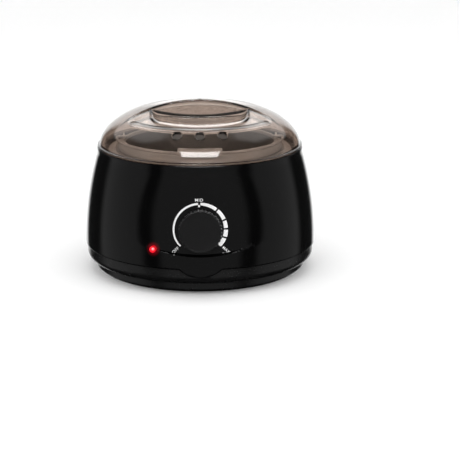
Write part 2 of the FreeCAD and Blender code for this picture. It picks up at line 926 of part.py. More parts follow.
def at_rest(obj):
    """Puts a piece of the bail, drawn flat about its pivot line, in its rest position on the pot."""
    return place(obj, z=pivot_height, axis=X_AXIS, angle=-size("bail_rest"))


def bail_wire():
    """The bail: a half ring of wire whose two ends turn inwards through the ears."""
    radius, bend = bail_radius.value, SIZES["wire_bend"]
    centre = Vector(-math.sqrt((radius - bend) ** 2 - bend**2), -bend, 0)
    outwards = Vector(centre).normalize()
    knee = outwards * radius
    elbow = Vector(centre.x, 0, 0)
    tip = Vector(SIZES["wire_over"] - ear_inner.value, 0, 0)
    halfway = centre + (outwards + Y_AXIS).normalize() * bend

    def other(point):
        return Vector(-point.x, point.y, point.z)

    path = Part.Wire(
        [
            Part.LineSegment(tip, elbow).toShape(),
            Part.Arc(elbow, halfway, knee).toShape(),
            Part.Arc(knee, Vector(0, -radius, 0), other(knee)).toShape(),
            Part.Arc(other(knee), other(halfway), other(elbow)).toShape(),
            Part.LineSegment(other(elbow), other(tip)).toShape(),
        ]
    )
    section = Part.Wire([Part.Circle(tip, X_AXIS, SIZES["wire_radius"]).toShape()])
    wire = doc.addObject("Part::Feature", "bail")
    wire.Shape = path.makePipeShell([section], True, False)
    return node(at_rest(wire), "bail_wire")


def bail_grip():
    """The pressed grip round the middle of the bail."""
    wall, height, ring = size("grip_wall"), size("grip_height"), bail_radius
    low = size("grip_rise") - height / 2
    outer = ring + size("wire_radius") + wall
    inner = ring - size("wire_radius") - wall
    tube = cut(
        "grip_ring",
        cylinder("grip_outside", outer, height, z=low),
        cylinder("grip_inside", inner, height, z=low),
    )
    half = seam_radius * tangent(size("grip_angle") / 2)
    wedge = [(0, 0), (-half, -seam_radius), (half, -seam_radius)]
    sector = slab("grip_sector", "XY_Plane", wedge, height * 4)
    bore = doc.addObject("Part::Torus", "grip_bore")
    bind(bore, Radius1=ring, Radius2=size("wire_radius"))
    return node(at_rest(cut("grip_bored", common("grip_bar", tube, sector), bore)), "bail_grip")


# The lid's dome, its crest and the lines on it.
dome_radius, dome_height = rim_radius - size("bead_ledge"), size("dome_height")
dome_crest = lid_base + dome_height


def dome_level(radius):
    """The height of the dome's outside at a distance from the axis."""
    share = radius / dome_radius
    return lid_base + dome_height * root(1 - share * share)


def scoop(name, inset):
    """One finger scoop of the lid, in front of the rib. An inset makes it larger, for the inside."""
    half, floor = size("scoop_half") + inset, dome_crest - size("scoop_depth") - inset
    corner, dish = size("scoop_corner"), size("scoop_dish")
    flat = half - corner
    rise = dish - root(dish * dish - flat * flat)
    top = dome_crest + 10
    back = size("rib_half") - inset
    length = dome_radius
    body = doc.addObject("PartDesign::Body", f"{name}_pocket")
    sections = []
    for i, (shrink, lift) in enumerate(((ZERO, ZERO), (length * tangent(size("scoop_rise")),) * 2)):
        outline = [
            (-flat + shrink, floor + rise + lift),
            (flat - shrink, floor + rise + lift, dish),
            (half - shrink, floor + rise + corner + lift, corner + 0.4),
            (half - shrink, top + 12),
            (-half + shrink, top + 12),
            (-half + shrink, floor + rise + corner + lift),
            (-flat + shrink, floor + rise + lift, corner + 0.4),
        ][1:]
        outline = [outline[-1]] + outline[:-1]
        sketch = closed_sketch(body, f"{name}_section_{i}", "XZ_Plane", outline)
        offset = back if i == 0 else back + length
        sketch.AttachmentOffset = Placement(Vector(0, 0, offset.value), Rotation())
        sketch.setExpression("AttachmentOffset.Base.z", offset.text)
        sections.append(sketch)
    loft = body.newObject("PartDesign::AdditiveLoft", f"{name}_loft")
    loft.Profile = sections[0]
    loft.Sections = [sections[1]]
    loft.Ruled = True
    doc.recompute()
    bend, draft = size("rib_bend"), tangent(size("rib_draft"))
    wide = bend + inset
    plug = cone(
        f"{name}_plug",
        wide - (top - 10 - floor + 2) * draft,
        wide + 12 * draft,
        top - floor + 4,
        y=-(size("rib_half") - inset) - wide,
        z=floor - 2,
    )
    # The brow: a flatter cap in front of the rib, so that the rib's edge runs on past the pocket.
    across, cap = size("brow_radius"), size("brow_bend")
    ball = doc.addObject("Part::Sphere", f"{name}_cap")
    bind(ball, Radius=cap - inset)
    level = dome_level(across) - size("brow_sink")
    place(ball, z=level - root(cap * cap - across * across))
    return fuse(name, common(f"{name}_hollow", body, plug), cut(f"{name}_brow", plug, ball))


def lid_dome():
    """The smoked lid: a domed shell with a scoop on each side of a finger rib, and three vents."""
    radius, height, wall = dome_radius, dome_height, size("dome_wall")

    def half_dome(name, across, up):
        shape = doc.addObject("Part::Ellipsoid", name)
        bind(shape, Radius1=up, Radius2=across, Radius3=across)
        shape.Angle1, shape.Angle2, shape.Angle3 = 0, 90, 360
        return place(shape, z=lid_base)

    bead = cylinder("lid_bead", rim_radius, size("bead_height"), z=lid_base)
    lip_outer = rim_radius - shell_wall - size("lip_play")
    lip_inner, drop = lip_outer - size("lip_wall"), size("lip_drop")
    lip = cylinder("lid_lip", lip_outer, drop, z=lid_base - drop)
    nub = cylinder("lid_nub", size("nub_radius"), wall / 2 + size("nub_rise"), z=dome_crest - wall / 2)
    outside = fuse("lid_outside", half_dome("dome_outside", radius, height), bead, lip)
    mouth = cylinder("lid_mouth", lip_inner, drop + 1, z=lid_base - drop - 1)
    inside = fuse("lid_inside", half_dome("dome_inside", lip_inner, height - wall), mouth)
    fronts = scoop("scoop_front", ZERO), scoop("scoop_front_inside", wall)
    backs = []
    for front in fronts:
        turned_copy = doc.addObject("Part::Mirroring", f"{front.Name}_mirror")
        turned_copy.Source = front
        turned_copy.Normal = Y_AXIS
        turned_copy.Base = Vector(0, 0, 0)
        backs.append(turned_copy)
    outside = cut("lid_scooped", outside, fuse("scoops", fronts[0], backs[0]))
    inside = cut("lid_hollow", inside, fuse("scoops_inside", fronts[1], backs[1]))
    shell = fuse("lid_shell", cut("lid_walls", outside, inside), nub)
    vent_circle = radius - size("vent_inset")
    vent_level = dome_level(vent_circle)
    steep = (vent_level - lid_base).value / height.value**2
    slope = math.degrees(math.atan2(steep, vent_circle.value / radius.value**2))
    vents = []
    for i, side in enumerate((-1, 0, 1)):
        turn = side * size("vent_angle")
        facing = Rotation(Z_AXIS, turn.value) * Rotation(X_AXIS, 90 - slope)
        vents.append(
            cylinder(
                f"vent_{i}", size("vent_radius"), 20,
                x=vent_circle * sine(turn) - facing.multVec(Z_AXIS).x * 10,
                y=-(vent_circle * cosine(turn)) - facing.multVec(Z_AXIS).y * 10,
                z=vent_level - facing.multVec(Z_AXIS).z * 10,
                axis=facing.Axis, angle=math.degrees(facing.Angle),
            )
        )
    return node(cut("lid", shell, fuse("vents", *vents)), "lid_dome")


def thermostat_parts():
    """The rotary thermostat behind the panel, with its bush through the panel and the nut outside."""
    width, tall, depth = size("thermostat_width"), size("thermostat_height"), size("thermostat_depth")
    back_of_panel = -size("dial_seat")
    case_low = back_of_panel - depth
    shaft, play = size("shaft_radius"), size("shaft_play")
    case = box("thermostat_case", width, tall, depth, **on_dial(case_low))
    shift = on_dial(case_low)
    tilt = size("panel_tilt")
    place(
        case,
        x=-width / 2,
        y=shift["y"] - tall / 2 * sine(tilt),
        z=shift["z"] - tall / 2 * cosine(tilt),
        axis=X_AXIS,
        angle=dial_lean,
    )
    bush_top = size("bush_reach")
    tall = bush_top - back_of_panel + 1
    bush = cylinder("thermostat_bush", size("bush_radius"), tall, **on_dial(back_of_panel - 1))
    bore = cylinder("thermostat_bore", shaft + play, 40, **on_dial(case_low + 2))
    node(cut("thermostat_bored", fuse("thermostat_solid", case, bush), bore), "thermostat_body")
    nut = doc.addObject("Part::Prism", "nut_prism")
    nut.Polygon = 6
    bind(nut, Circumradius=size("nut_radius"), Height=size("nut_height"))
    place(nut, **on_dial(size("dial_pad")))
    nut_bore = cylinder("nut_bore", size("bush_radius"), 10, **on_dial(-2))
    node(cut("nut", nut, nut_bore), "thermostat_nut")
    hub_low = size("bush_reach") + size("knob_gap")
    tip = size("knob_gap") + size("knob_height") - size("knob_face") + 1
    rod = cylinder("shaft_rod", shaft, tip - case_low - 2.5, **on_dial(case_low + 2.5))
    flat = flat_cutter("shaft_flat_cut", hub_low, overshoot, shaft - size("shaft_flat"))
    node(cut("shaft", rod, flat), "thermostat_shaft")
    return hub_low, tip


def flat_cutter(name, low, length, level):
    """A block whose lower face is the flat of the shaft, a level above the dial's axis."""
    tilt = size("panel_tilt")
    start = on_dial(low)
    block = box(name, 20, 10, length)
    return place(
        block,
        x=-10,
        y=start["y"] + level * sine(tilt),
        z=start["z"] + level * cosine(tilt),
        axis=X_AXIS,
        angle=dial_lean,
    )


def control_knob(hub_low, shaft_tip):
    """The fluted knob: a cup with a D-bored hub, its flutes cut by a polar pattern."""
    radius, height, gap = size("knob_radius"), size("knob_height"), size("knob_gap")
    body = doc.addObject("PartDesign::Body", "knob")
    inner = radius - size("knob_wall")
    roof = height - size("knob_face")
    crown = size("knob_round")
    hub, floor = size("hub_radius"), hub_low - gap
    section = closed_sketch(
        body,
        "knob_section",
        "XZ_Plane",
        [
            (0, floor),
            (hub, floor),
            (hub, roof),
            (inner, roof),
            (inner, 0),
            (radius, 0),
            (radius, height - crown),
            (radius - crown, height, crown),
            (0, height),
        ],
    )
    turn = body.newObject("PartDesign::Revolution", "knob_turn")
    turn.Profile = section
    turn.ReferenceAxis = (section, ["V_Axis"])
    turn.Angle = 360.0
    doc.recompute()
    before = turn.Shape.Volume
    flute = body.newObject("Sketcher::SketchObject", "flute_outline")
    flute.AttachmentSupport = [(origin_plane(body, "XY_Plane"), "")]
    flute.MapMode = "FlatFace"
    ring = radius + size("flute_radius") * 0.45
    round_cut = Part.Circle(Vector(ring.value, 0, 0), Z_AXIS, SIZES["flute_radius"])
    circle = flute.addGeometry(round_cut)
    flute.addConstraint(Sketcher.Constraint("PointOnObject", circle, 3, -1))
    number = flute.addConstraint(Sketcher.Constraint("DistanceX", -1, 1, circle, 3, ring.value))
    flute.setExpression(f"Constraints[{number}]", ring.text)
    number = flute.addConstraint(Sketcher.Constraint("Radius", circle, SIZES["flute_radius"]))
    flute.setExpression(f"Constraints[{number}]", size("flute_radius").text)
    groove = body.newObject("PartDesign::Pocket", "flute")
    groove.Profile = flute
    groove.Type = 1
    groove.Reversed = True
    doc.recompute()
    pattern = body.newObject("PartDesign::PolarPattern", "flutes")
    pattern.Originals = [groove]
    pattern.Axis = (section, ["V_Axis"])
    pattern.Angle = 360.0
    pattern.Occurrences = int(SIZES["flute_count"])
    pattern.setExpression("Occurrences", "Sizes.flute_count")
    body.Tip = pattern
    doc.recompute()
    if pattern.Shape.Volume >= before:
        raise RuntimeError("the flutes cut nothing")
    start = on_dial(gap)
    place(body, **start)
    shaft, play = size("shaft_radius"), size("shaft_play")
    clip_slot_level = shaft - size("shaft_flat") + play
    bore = cylinder("knob_bore", shaft + play, shaft_tip - hub_low + 0.3, **on_dial(hub_low))
    flat = flat_cutter("knob_flat", hub_low - 1, overshoot, clip_slot_level)
    bored = cut("knob_bored", body, cut("knob_d_bore", bore, flat))
    clip = size("clip_wall")
    tilt = size("panel_tilt")
    seat = on_dial(hub_low)

    def leaf(name, play):
        return place(
            box(name, 4 + play * 2, clip + play, 5),
            x=-2 - play,
            y=seat["y"] + clip_slot_level * sine(tilt),
            z=seat["z"] + clip_slot_level * cosine(tilt),
            axis=X_AXIS,
            angle=dial_lean,
        )

    slot = leaf("clip_slot", size("shaft_play"))
    node(cut("knob_finished", bored, slot), "control_knob")
    node(leaf("clip_leaf", ZERO), "knob_spring_clip")


def indicator_parts():
    """The red lens in the wall, the lamp behind it and the holder that grips both."""
    lens, play = size("lens_radius"), size("lens_play")
    inside = -size("lamp_pad")
    barrel = cylinder("lens_barrel", lens, size("lens_reach") - inside, **on_lamp(inside))
    cap = doc.addObject("Part::Sphere", "lens_cap")
    bind(cap, Radius=lens)
    cap.Angle1, cap.Angle2 = 0, 90
    place(cap, **on_lamp(size("lens_reach")))
    flange = cylinder("lens_flange", lens + 1, 1, **on_lamp(inside - 1))
    node(fuse("lens", barrel, cap, flange), "indicator_lens")
    lamp_low = inside - 1 - size("holder_length") + 2
    lamp = cylinder("lamp_capsule", lens - 0.4, size("holder_length") - 2.2, **on_lamp(lamp_low))
    node(lamp, "indicator_lamp")
    low = inside - 1 - size("holder_length")
    sleeve = cylinder("holder_sleeve", size("holder_radius"), size("holder_length") + 1, **on_lamp(low))
    way = cylinder("holder_way", lens + 1 + play, 5, **on_lamp(inside - 1))
    bore = cylinder("holder_bore", lens - 0.4 + play, 30, **on_lamp(lamp_low - 0.2))
    node(cut("holder", sleeve, fuse("holder_cut", way, bore)), "lamp_holder")
    return low


def fuse_parts():
    """The thermal fuse lying under the chamber, with the clip that presses it there."""
    radius, length, offset = size("fuse_radius"), size("fuse_length"), size("fuse_offset")
    z = chamber_floor - radius - 0.05
    capsule = cylinder("fuse_capsule", radius, length, x=-length / 2, y=offset, z=z, axis=Y_AXIS, angle=90)
    node(capsule, "thermal_fuse")
    wall, wide = Dim.of(0.8), radius + 0.1
    low = chamber_floor - radius * 2 - 0.2
    strap = slab(
        "fuse_clip_strap",
        "YZ_Plane",
        [
            (offset - wide - 6, chamber_floor - wall),
            (offset - wide - wall, chamber_floor - wall),
            (offset - wide - wall, low - wall),
            (offset + wide + wall, low - wall),
            (offset + wide + wall, chamber_floor - wall),
            (offset + wide + 6, chamber_floor - wall),
            (offset + wide + 6, chamber_floor),
            (offset + wide, chamber_floor),
            (offset + wide, low),
            (offset - wide, low),
            (offset - wide, chamber_floor),
            (offset - wide - 6, chamber_floor),
        ],
        length - 6,
    )
    node(strap, "fuse_clip")


def terminal_parts():
    """A three-way terminal block on the floor plate, with its brass tubes."""
    width, depth, height = size("block_width"), size("block_depth"), size("block_height")
    y = size("block_offset")
    block = box("block_body", width, depth, height, x=-width / 2, y=y - depth / 2, z=plate_top)
    tubes, ways = [], []
    for i, side in enumerate((-1, 0, 1)):
        x, z = size("tube_pitch") * side, plate_top + height / 2
        where = {"x": x, "z": z, "axis": X_AXIS, "angle": 90}
        ways.append(cylinder(f"tube_way_{i}", size("tube_radius"), depth + 4, y=y + depth / 2 + 2, **where))
        outer = cylinder(f"tube_outer_{i}", size("tube_radius"), depth - 3, y=y + depth / 2 - 1.5, **where)
        hollow = size("tube_radius") - 0.7
        inner = cylinder(f"tube_inner_{i}", hollow, depth + 4, y=y + depth / 2 + 2, **where)
        tubes.append(cut(f"tube_{i}", outer, inner))
    node(cut("block", block, fuse("tube_ways", *ways)), "terminal_block")
    node(group("tubes", tubes), "terminal_tubes")


def inlet_parts():
    """The bushing for the mains cord at the back, with the ring nut inside the wall."""
    bore, neck, flange = size("inlet_bore"), size("inlet_neck"), size("inlet_flange")
    wall, nut = size("inlet_wall"), size("inlet_nut")
    face, inside = inlet_seat, inlet_seat - size("inlet_pad")
    where = {"z": inlet_height, "axis": X_AXIS, "angle": 90}
    rim = cylinder("gland_rim", flange, wall, y=face + wall, **where)
    throat = cylinder("gland_throat", neck, size("inlet_pad") + nut + 1.5, y=face + 0.5, **where)
    way = cylinder("gland_way", bore, 40, y=face + 20, **where)
    node(cut("gland", fuse("gland_solid", rim, throat), way), "cord_inlet")
    ring = cylinder("gland_nut_ring", flange, nut, y=inside, **where)
    hole = cylinder("gland_nut_hole", neck, nut + 4, y=inside + 2, **where)
    node(cut("gland_nut", ring, hole), "inlet_nut")


def rounded_path(points, bend):
    """Straight runs joined by tangent arcs through a list of points."""
    edges, start = [], points[0]
    for before, corner, after in zip(points, points[1:], points[2:]):
        into, out = (corner - before).normalize(), (after - corner).normalize()
        turn = into.getAngle(out)
        reach = bend * math.tan(turn / 2)
        first, last = corner - into * reach, corner + out * reach
        inward = (out - into).normalize()
        centre = corner + inward * (bend / math.cos(turn / 2))
        edges.append(Part.LineSegment(start, first).toShape())
        edges.append(Part.Arc(first, centre - inward * bend, last).toShape())
        start = last
    edges.append(Part.LineSegment(start, points[-1]).toShape())
    return Part.Wire(edges)


def lead(name, points):
    """An insulated lead along its route."""
    path = rounded_path([Vector(*p) for p in points], SIZES["lead_bend"])
    direction = path.Edges[0].tangentAt(path.Edges[0].FirstParameter)
    section = Part.Wire([Part.Circle(Vector(*points[0]), direction, SIZES["lead_radius"]).toShape()])
    wire = doc.addObject("Part::Feature", name)
    wire.Shape = path.makePipeShell([section], True, False)
    return node(wire, name)


def internal_leads(holder_low):
    """The leads between the terminal block, thermostat, fuse, heater and lamp."""
    bend, radius = SIZES["lead_bend"], SIZES["lead_radius"]
    block_front = SIZES["block_offset"] - SIZES["block_depth"] / 2
    block_back = block_front + SIZES["block_depth"]
    tube_z = plate_top.value + SIZES["block_height"] / 2
    pitch = SIZES["tube_pitch"]
    tilt = math.radians(SIZES["panel_tilt"])
    middle = SIZES["dial_seat"] + SIZES["thermostat_depth"] / 2
    fall = SIZES["thermostat_height"] / 2
    case_y = -panel_front(dial_height).value + middle * math.cos(tilt) - fall * math.sin(tilt)
    case_z = dial_height.value - middle * math.sin(tilt) - fall * math.cos(tilt)
    case_z = case_z - radius * math.sin(tilt)
    spread = SIZES["thermostat_width"] / 4
    fuse_end = SIZES["fuse_length"] / 2
    fuse_z = chamber_floor.value - SIZES["fuse_radius"]
    fuse_y = SIZES["fuse_offset"]
    heater_face = chamber_outer.value + SIZES["heater_wall"] + radius
    tube_end, rise, run = SIZES["lead_end"], SIZES["lead_rise"], SIZES["lead_run"]
    beside = SIZES["lead_side"]
    heater_z = heater_start.value + beside
    turn_z = tube_z + rise
    block_z = plate_top.value + SIZES["block_height"]
    between = (fuse_z + block_z) / 2
    lead(
        "lead_block_to_thermostat",
        [(-pitch, block_front + tube_end, tube_z), (-pitch, case_y + run, tube_z),
         (-spread, case_y, turn_z), (-spread, case_y, case_z)],
    )
    side = fuse_end + 2 * bend + radius * 2
    lead(
        "lead_thermostat_to_fuse",
        [(spread, case_y, case_z), (spread, case_y, turn_z), (side, case_y + run * 1.6, turn_z),
         (side, fuse_y - bend * 1.6, turn_z), (side, fuse_y, fuse_z), (fuse_end, fuse_y, fuse_z)],
    )
    lead(
        "lead_fuse_to_heater",
        [(-fuse_end, fuse_y, fuse_z), (-side, fuse_y, fuse_z), (-side, fuse_y + run, between),
         (-beside, heater_face, between - bend / 2), (-beside, heater_face, heater_z)],
    )
    lead(
        "lead_block_to_heater",
        [(pitch, block_back - tube_end, tube_z), (pitch, heater_face + bend, tube_z),
         (beside, heater_face, turn_z + bend), (beside, heater_face, heater_z)],
    )
    start = on_lamp(holder_low)
    x, y, z = (start[k].value for k in "xyz")
    lead(
        "lead_block_to_lamp",
        [(x, y, z), (x * 0.84, y * 0.84, z), (x * 0.8, y * 0.5, tube_z + run / 2),
         (-side * 1.15, 0, tube_z + run / 2), (0, block_front - rise, tube_z),
         (0, block_front + tube_end, tube_z)],
    )


outer_housing()
base_cover()
rubber_feet()
base_screws()
deck_ring()
heating_chamber()
heater_parts()
chamber_bracket()
pot = inner_pot()
bail_ears(pot)
bail_wire()
bail_grip()
lid_dome()
hub_low, shaft_tip = thermostat_parts()
control_knob(hub_low, shaft_tip)
holder_low = indicator_parts()
fuse_parts()
terminal_parts()
inlet_parts()
internal_leads(holder_low)
doc.recompute()

for obj in doc.Objects:
    if "Invalid" in obj.State or "Error" in obj.State:
        raise RuntimeError(f"{obj.Label} failed: {obj.State}")
os.makedirs("parts", exist_ok=True)
for obj in NODES:
    if obj.Shape.isNull() or not obj.Shape.isValid():
        raise RuntimeError(f"{obj.Label} has no valid shape")
for obj in NODES:
    obj.Shape.exportStep(f"parts/{obj.Label}.step")
    print(obj.Label, len(obj.Shape.Solids), round(obj.Shape.Volume, 1))
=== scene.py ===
import json
import math

import bmesh
import bpy
import numpy as np
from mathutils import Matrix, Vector

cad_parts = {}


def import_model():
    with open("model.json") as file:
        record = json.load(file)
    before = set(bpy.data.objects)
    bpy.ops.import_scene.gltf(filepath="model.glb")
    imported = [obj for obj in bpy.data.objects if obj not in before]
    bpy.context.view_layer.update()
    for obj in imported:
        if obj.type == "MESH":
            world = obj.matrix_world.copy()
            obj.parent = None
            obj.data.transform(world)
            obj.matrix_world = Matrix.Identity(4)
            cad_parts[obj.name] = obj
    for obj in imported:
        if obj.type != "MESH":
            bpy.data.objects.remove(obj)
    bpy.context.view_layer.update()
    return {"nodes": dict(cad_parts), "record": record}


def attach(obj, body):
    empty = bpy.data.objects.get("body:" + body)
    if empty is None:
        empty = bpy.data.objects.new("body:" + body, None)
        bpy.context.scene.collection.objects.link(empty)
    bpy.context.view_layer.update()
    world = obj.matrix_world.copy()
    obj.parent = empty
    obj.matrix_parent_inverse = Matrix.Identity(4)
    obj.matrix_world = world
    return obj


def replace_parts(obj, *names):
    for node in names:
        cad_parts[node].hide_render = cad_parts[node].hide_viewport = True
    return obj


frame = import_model()
NODES = frame["nodes"]
MM = 0.001

# ---------------------------------------------------------------- sizes, in millimetres and degrees
# dome of the lid, its rib and the nub on top
LID_BASE, DOME_R, DOME_IN, DOME_H, DOME_WALL = 100.6, 80.7, 77.5, 37.1, 2.0
RIB_HALF, RIB_BEND, NUB_R, NUB_TOP = 3.5, 106.0, 1.3, 138.2
# finger scoops: leaning face of the rib, round brow, and pocket with a bent floor
RIB_DRAFT, BROW_R, BROW_TOP, BROW_REACH = 9.5, 170.0, 126.2, 58.0
POCKET_HALF, POCKET_DRAFT, POCKET_FLOOR, POCKET_BEND, POCKET_CORNER = 38.5, 3.1, 123.2, 256.0, 7.0
# vents, and the bead and lip at the lid's edge
VENT_RING, VENT_R, VENT_TURNS = 67.5, 3.6, (-15, 0, 15)
BEAD_HALF, LIP_R, LIP_HALF = 0.9, 79.3, 1.2
# barrel of the housing, with its rim, seam and the tongue under the seam
RIM_R, RIM_Z, SEAM_R, SEAM_Z, BEND = 82.4, 100.4, 92.9, 22.0, 262.5
TONGUE_R, TONGUE_DROP = 25.0, 6.4
# flattened panel, the shelf under it, the dial on it and the lamp beside it
SHELF_Z, SHELF_SLOPE, PANEL_TILT, PANEL_BEND, PANEL_INSET = 32.0, 36.0, 8.0, 130.0, 2.05
DIAL_Z, DIAL_R, INK_LIFT = 52.2, 21.0, 0.05
LAMP_OUT, LAMP_Z, LENS_R, LENS_BASE, GLOW_AHEAD = 36.1, 36.8, 2.55, 0.6, 2.9


def barrel_radius(z):
    return SEAM_R - (BEND - math.sqrt(BEND**2 - (z - SEAM_Z) ** 2))


TILT, SLOPE = math.radians(PANEL_TILT), math.radians(SHELF_SLOPE)
PANEL_Y = barrel_radius(SHELF_Z)
PANEL_LOW = PANEL_Y - PANEL_INSET
DIAL_Y = -(PANEL_LOW - (DIAL_Z - SHELF_Z) * math.tan(TILT))
ACROSS = np.array([1.0, 0.0, 0.0])
UP = np.array([0.0, math.sin(TILT), math.cos(TILT)])
OUT = np.array([0.0, -math.cos(TILT), math.sin(TILT)])
DIAL = np.array([0.0, DIAL_Y, DIAL_Z])
LAMP_AT = Vector((-LAMP_OUT, -math.sqrt(barrel_radius(LAMP_Z) ** 2 - LAMP_OUT**2), LAMP_Z)) * MM
LAMP_AXIS = Vector((LAMP_AT.x, LAMP_AT.y, 0)).normalized()
LAMP_NOSE = LAMP_AT + LAMP_AXIS * GLOW_AHEAD * MM

# voxel of the fine copies, how far their skin is pulled, and the step that their slopes are taken over
HOUSING_VOXEL, HOUSING_REACH, LID_VOXEL, LID_REACH, NUDGE = 0.8, 1.2, 0.55, 3.0, 0.01


# ---------------------------------------------------------------- mesh helpers
def link(name, data):
    obj = bpy.data.objects.new(name, data)
    bpy.context.scene.collection.objects.link(obj)
    return obj


def evaluated_mesh(obj):
    """The mesh of an object with its modifiers or text laid out. The object itself is removed."""
    graph = bpy.context.evaluated_depsgraph_get()
    mesh = bpy.data.meshes.new_from_object(obj.evaluated_get(graph))
    bpy.data.objects.remove(obj)
    return mesh


def new_mesh(name, points, faces):
    mesh = bpy.data.meshes.new(name)
    mesh.from_pydata([tuple(p) for p in points], [], [tuple(f) for f in faces])
    mesh.update()
    mesh.shade_smooth()
    return link(name, mesh)


def smin(a, b, k):
    """The smaller of two fields, rounded over k where they meet."""
    h = np.clip(0.5 + 0.5 * (b - a) / k, 0, 1)
    return b + (a - b) * h - k * h * (1 - h)


def smax(a, b, k):
    return -smin(-a, -b, k)


def step(low, high, x):
    t = np.clip((x - low) / (high - low), 0, 1)
    return t * t * (3 - 2 * t)


def sharpen(mesh, held):
    """Cuts faces along the held points and marks the line through those points as a sharp edge."""
    bm = bmesh.new()
    bm.from_mesh(mesh)
    line = [v for v in bm.verts if held[v.index]]
    bmesh.ops.remove_doubles(bm, verts=line, dist=0.4 * MM)
    line = {v for v in line if v.is_valid}
    along = [e for e in bm.edges if e.verts[0] in line and e.verts[1] in line]
    bmesh.ops.dissolve_degenerate(bm, edges=along, dist=0.1 * MM)
    line = {v for v in line if v.is_valid}
    for face in list(bm.faces):
        pair = [v for v in face.verts if v in line]
        if len(pair) == 2 and len(face.verts) == 4 and not bm.edges.get(pair):
            bmesh.utils.face_split(face, *pair)
    bm.normal_update()
    for edge in bm.edges:
        if len(edge.link_faces) == 2 and edge.verts[0] in line and edge.verts[1] in line:
            edge.smooth = edge.calc_face_angle(0.0) < math.radians(20)
    bm.to_mesh(mesh)
    bm.free()


def even_copy(name, node, voxel):
    """An evenly meshed copy of a CAD node."""
    source = link(name + "_raw", NODES[node].data.copy())
    bm = bmesh.new()
    bm.from_mesh(source.data)
    bmesh.ops.remove_doubles(bm, verts=bm.verts, dist=1e-6)
    bm.to_mesh(source.data)
    bm.free()
    grain = source.modifiers.new("grain", "REMESH")
    grain.mode, grain.voxel_size, grain.adaptivity = "VOXEL", voxel * MM, 0.0
    return evaluated_mesh(source)


def pull(p, tags, field, reach):
    """Moves the points that lie within reach of a field onto it, in place."""
    for _ in range(6):
        f = field(p, tags)
        near = np.abs(f) < reach
        q, tag = p[near], tags[near]
        slope = np.stack([
            (field(q + d, tag) - field(q - d, tag)) / (2 * NUDGE) for d in np.eye(3) * NUDGE
        ], 1)
        size = np.maximum((slope**2).sum(1), 0.05)
        p[near] = q - slope * (f[near] / size)[:, None]


def hold(p, creases, voxel):
    """Moves the points beside each crease onto both of its faces, in place, and says which they are."""
    held = np.zeros(len(p), bool)
    for n, (first, second) in enumerate(creases(p)):
        mark = (np.abs(first) < 0.52 * voxel) & (np.abs(second) < 0.52 * voxel) & ~held
        for turn in range(24):
            q = p[mark]
            f = creases(q)[n][turn % 2]
            slope = np.stack([(creases(q + d)[n][turn % 2] - f) / NUDGE for d in np.eye(3) * NUDGE], 1)
            p[mark] = q - slope * (f / (slope**2).sum(1))[:, None]
        held |= mark
    return held


def refine(name, node, voxel, field, reach, sort=None, creases=None):
    """A fine copy of a CAD node whose skin is pulled onto a smooth field, in millimetres.

    sort gives each point a tag that the field may use. creases gives the pairs of faces that keep a
    sharp corner between them.
    """
    mesh = even_copy(name, node, voxel)
    co = np.empty(len(mesh.vertices) * 3, np.float32)
    mesh.vertices.foreach_get("co", co)
    p = co.reshape(-1, 3).astype(float) / MM
    pull(p, sort(p) if sort else np.zeros(len(p), int), field, reach)
    held = hold(p, creases, voxel) if creases else None
    mesh.vertices.foreach_set("co", (p * MM).astype(np.float32).ravel())
    mesh.shade_smooth()
    mesh.name = name
    if creases:
        sharpen(mesh, held)
    return link(name, mesh)


def lathe(name, outline, steps=256, closed=True, wave=None):
    """A surface turned about Z from (radius, height) points. wave changes the radius by angle and point."""
    points, faces, rows = [], [], len(outline)
    for angle in np.linspace(0, 2 * math.pi, steps, endpoint=False):
        for i, (radius, height) in enumerate(outline):
            r = radius if wave is None else radius + wave(angle, i)
            points.append((r * math.cos(angle) * MM, r * math.sin(angle) * MM, height * MM))
    for j in range(steps):
        k = (j + 1) % steps
        for i in range(rows if closed else rows - 1):
            n = (i + 1) % rows
            faces.append((j * rows + i, k * rows + i, k * rows + n, j * rows + n))
    return new_mesh(name, points, faces)


def stand_on_dial(obj):
    """Moves a turned piece from dial coordinates (across, up, out) to its place in the part's frame."""
    for v in obj.data.vertices:
        across, up, out = (c / MM for c in v.co)
        v.co = Vector((DIAL + across * ACROSS + up * UP + out * OUT) * MM)


# ---------------------------------------------------------------- smooth fields, negative inside
def ellipsoid(r, z, a, h):
    dz = np.maximum(z - LID_BASE, 0)
    k = np.sqrt((r / a) ** 2 + (dz / h) ** 2)
    grad = np.sqrt((r / a**2) ** 2 + (dz / h**2) ** 2) / np.maximum(k, 1e-6)
    return (k - 1) / np.maximum(grad, 1e-3)


def rib_run(x, y):
    """How far a point lies in front of the rib's face, on the -Y side."""
    return -y - RIB_HALF - (RIB_BEND - np.sqrt(np.maximum(RIB_BEND**2 - x**2, 1)))


def scoop_field(x, y, z, inset, soft):
    """Negative inside the scoop on the -Y side: its pocket and the flatter brow in front of the rib."""
    bend = RIB_BEND + inset
    draft = math.radians(RIB_DRAFT)
    radius = bend - (LID_BASE + DOME_H - z) * math.tan(draft)
    plug = (np.hypot(x, y + RIB_HALF - inset + bend) - radius) * math.cos(draft)
    cap_z = BROW_TOP - math.sqrt(BROW_R**2 - BROW_REACH**2)
    brow = -(np.sqrt(x**2 + y**2 + (z - cap_z) ** 2) - (BROW_R - inset))
    give = np.maximum(-y - (RIB_HALF - inset), 0) * math.tan(math.radians(POCKET_DRAFT))
    half = POCKET_HALF + inset - give
    rise = POCKET_BEND - np.sqrt(np.maximum(POCKET_BEND**2 - x**2, 1))
    floor = POCKET_FLOOR - inset + give + rise
    pocket = smax((floor - z) * 0.98, np.abs(x) - half, POCKET_CORNER)
    hollow = smin(pocket, brow, 0.4 + 1.3 * soft)
    return smax(hollow, plug, 0.4)


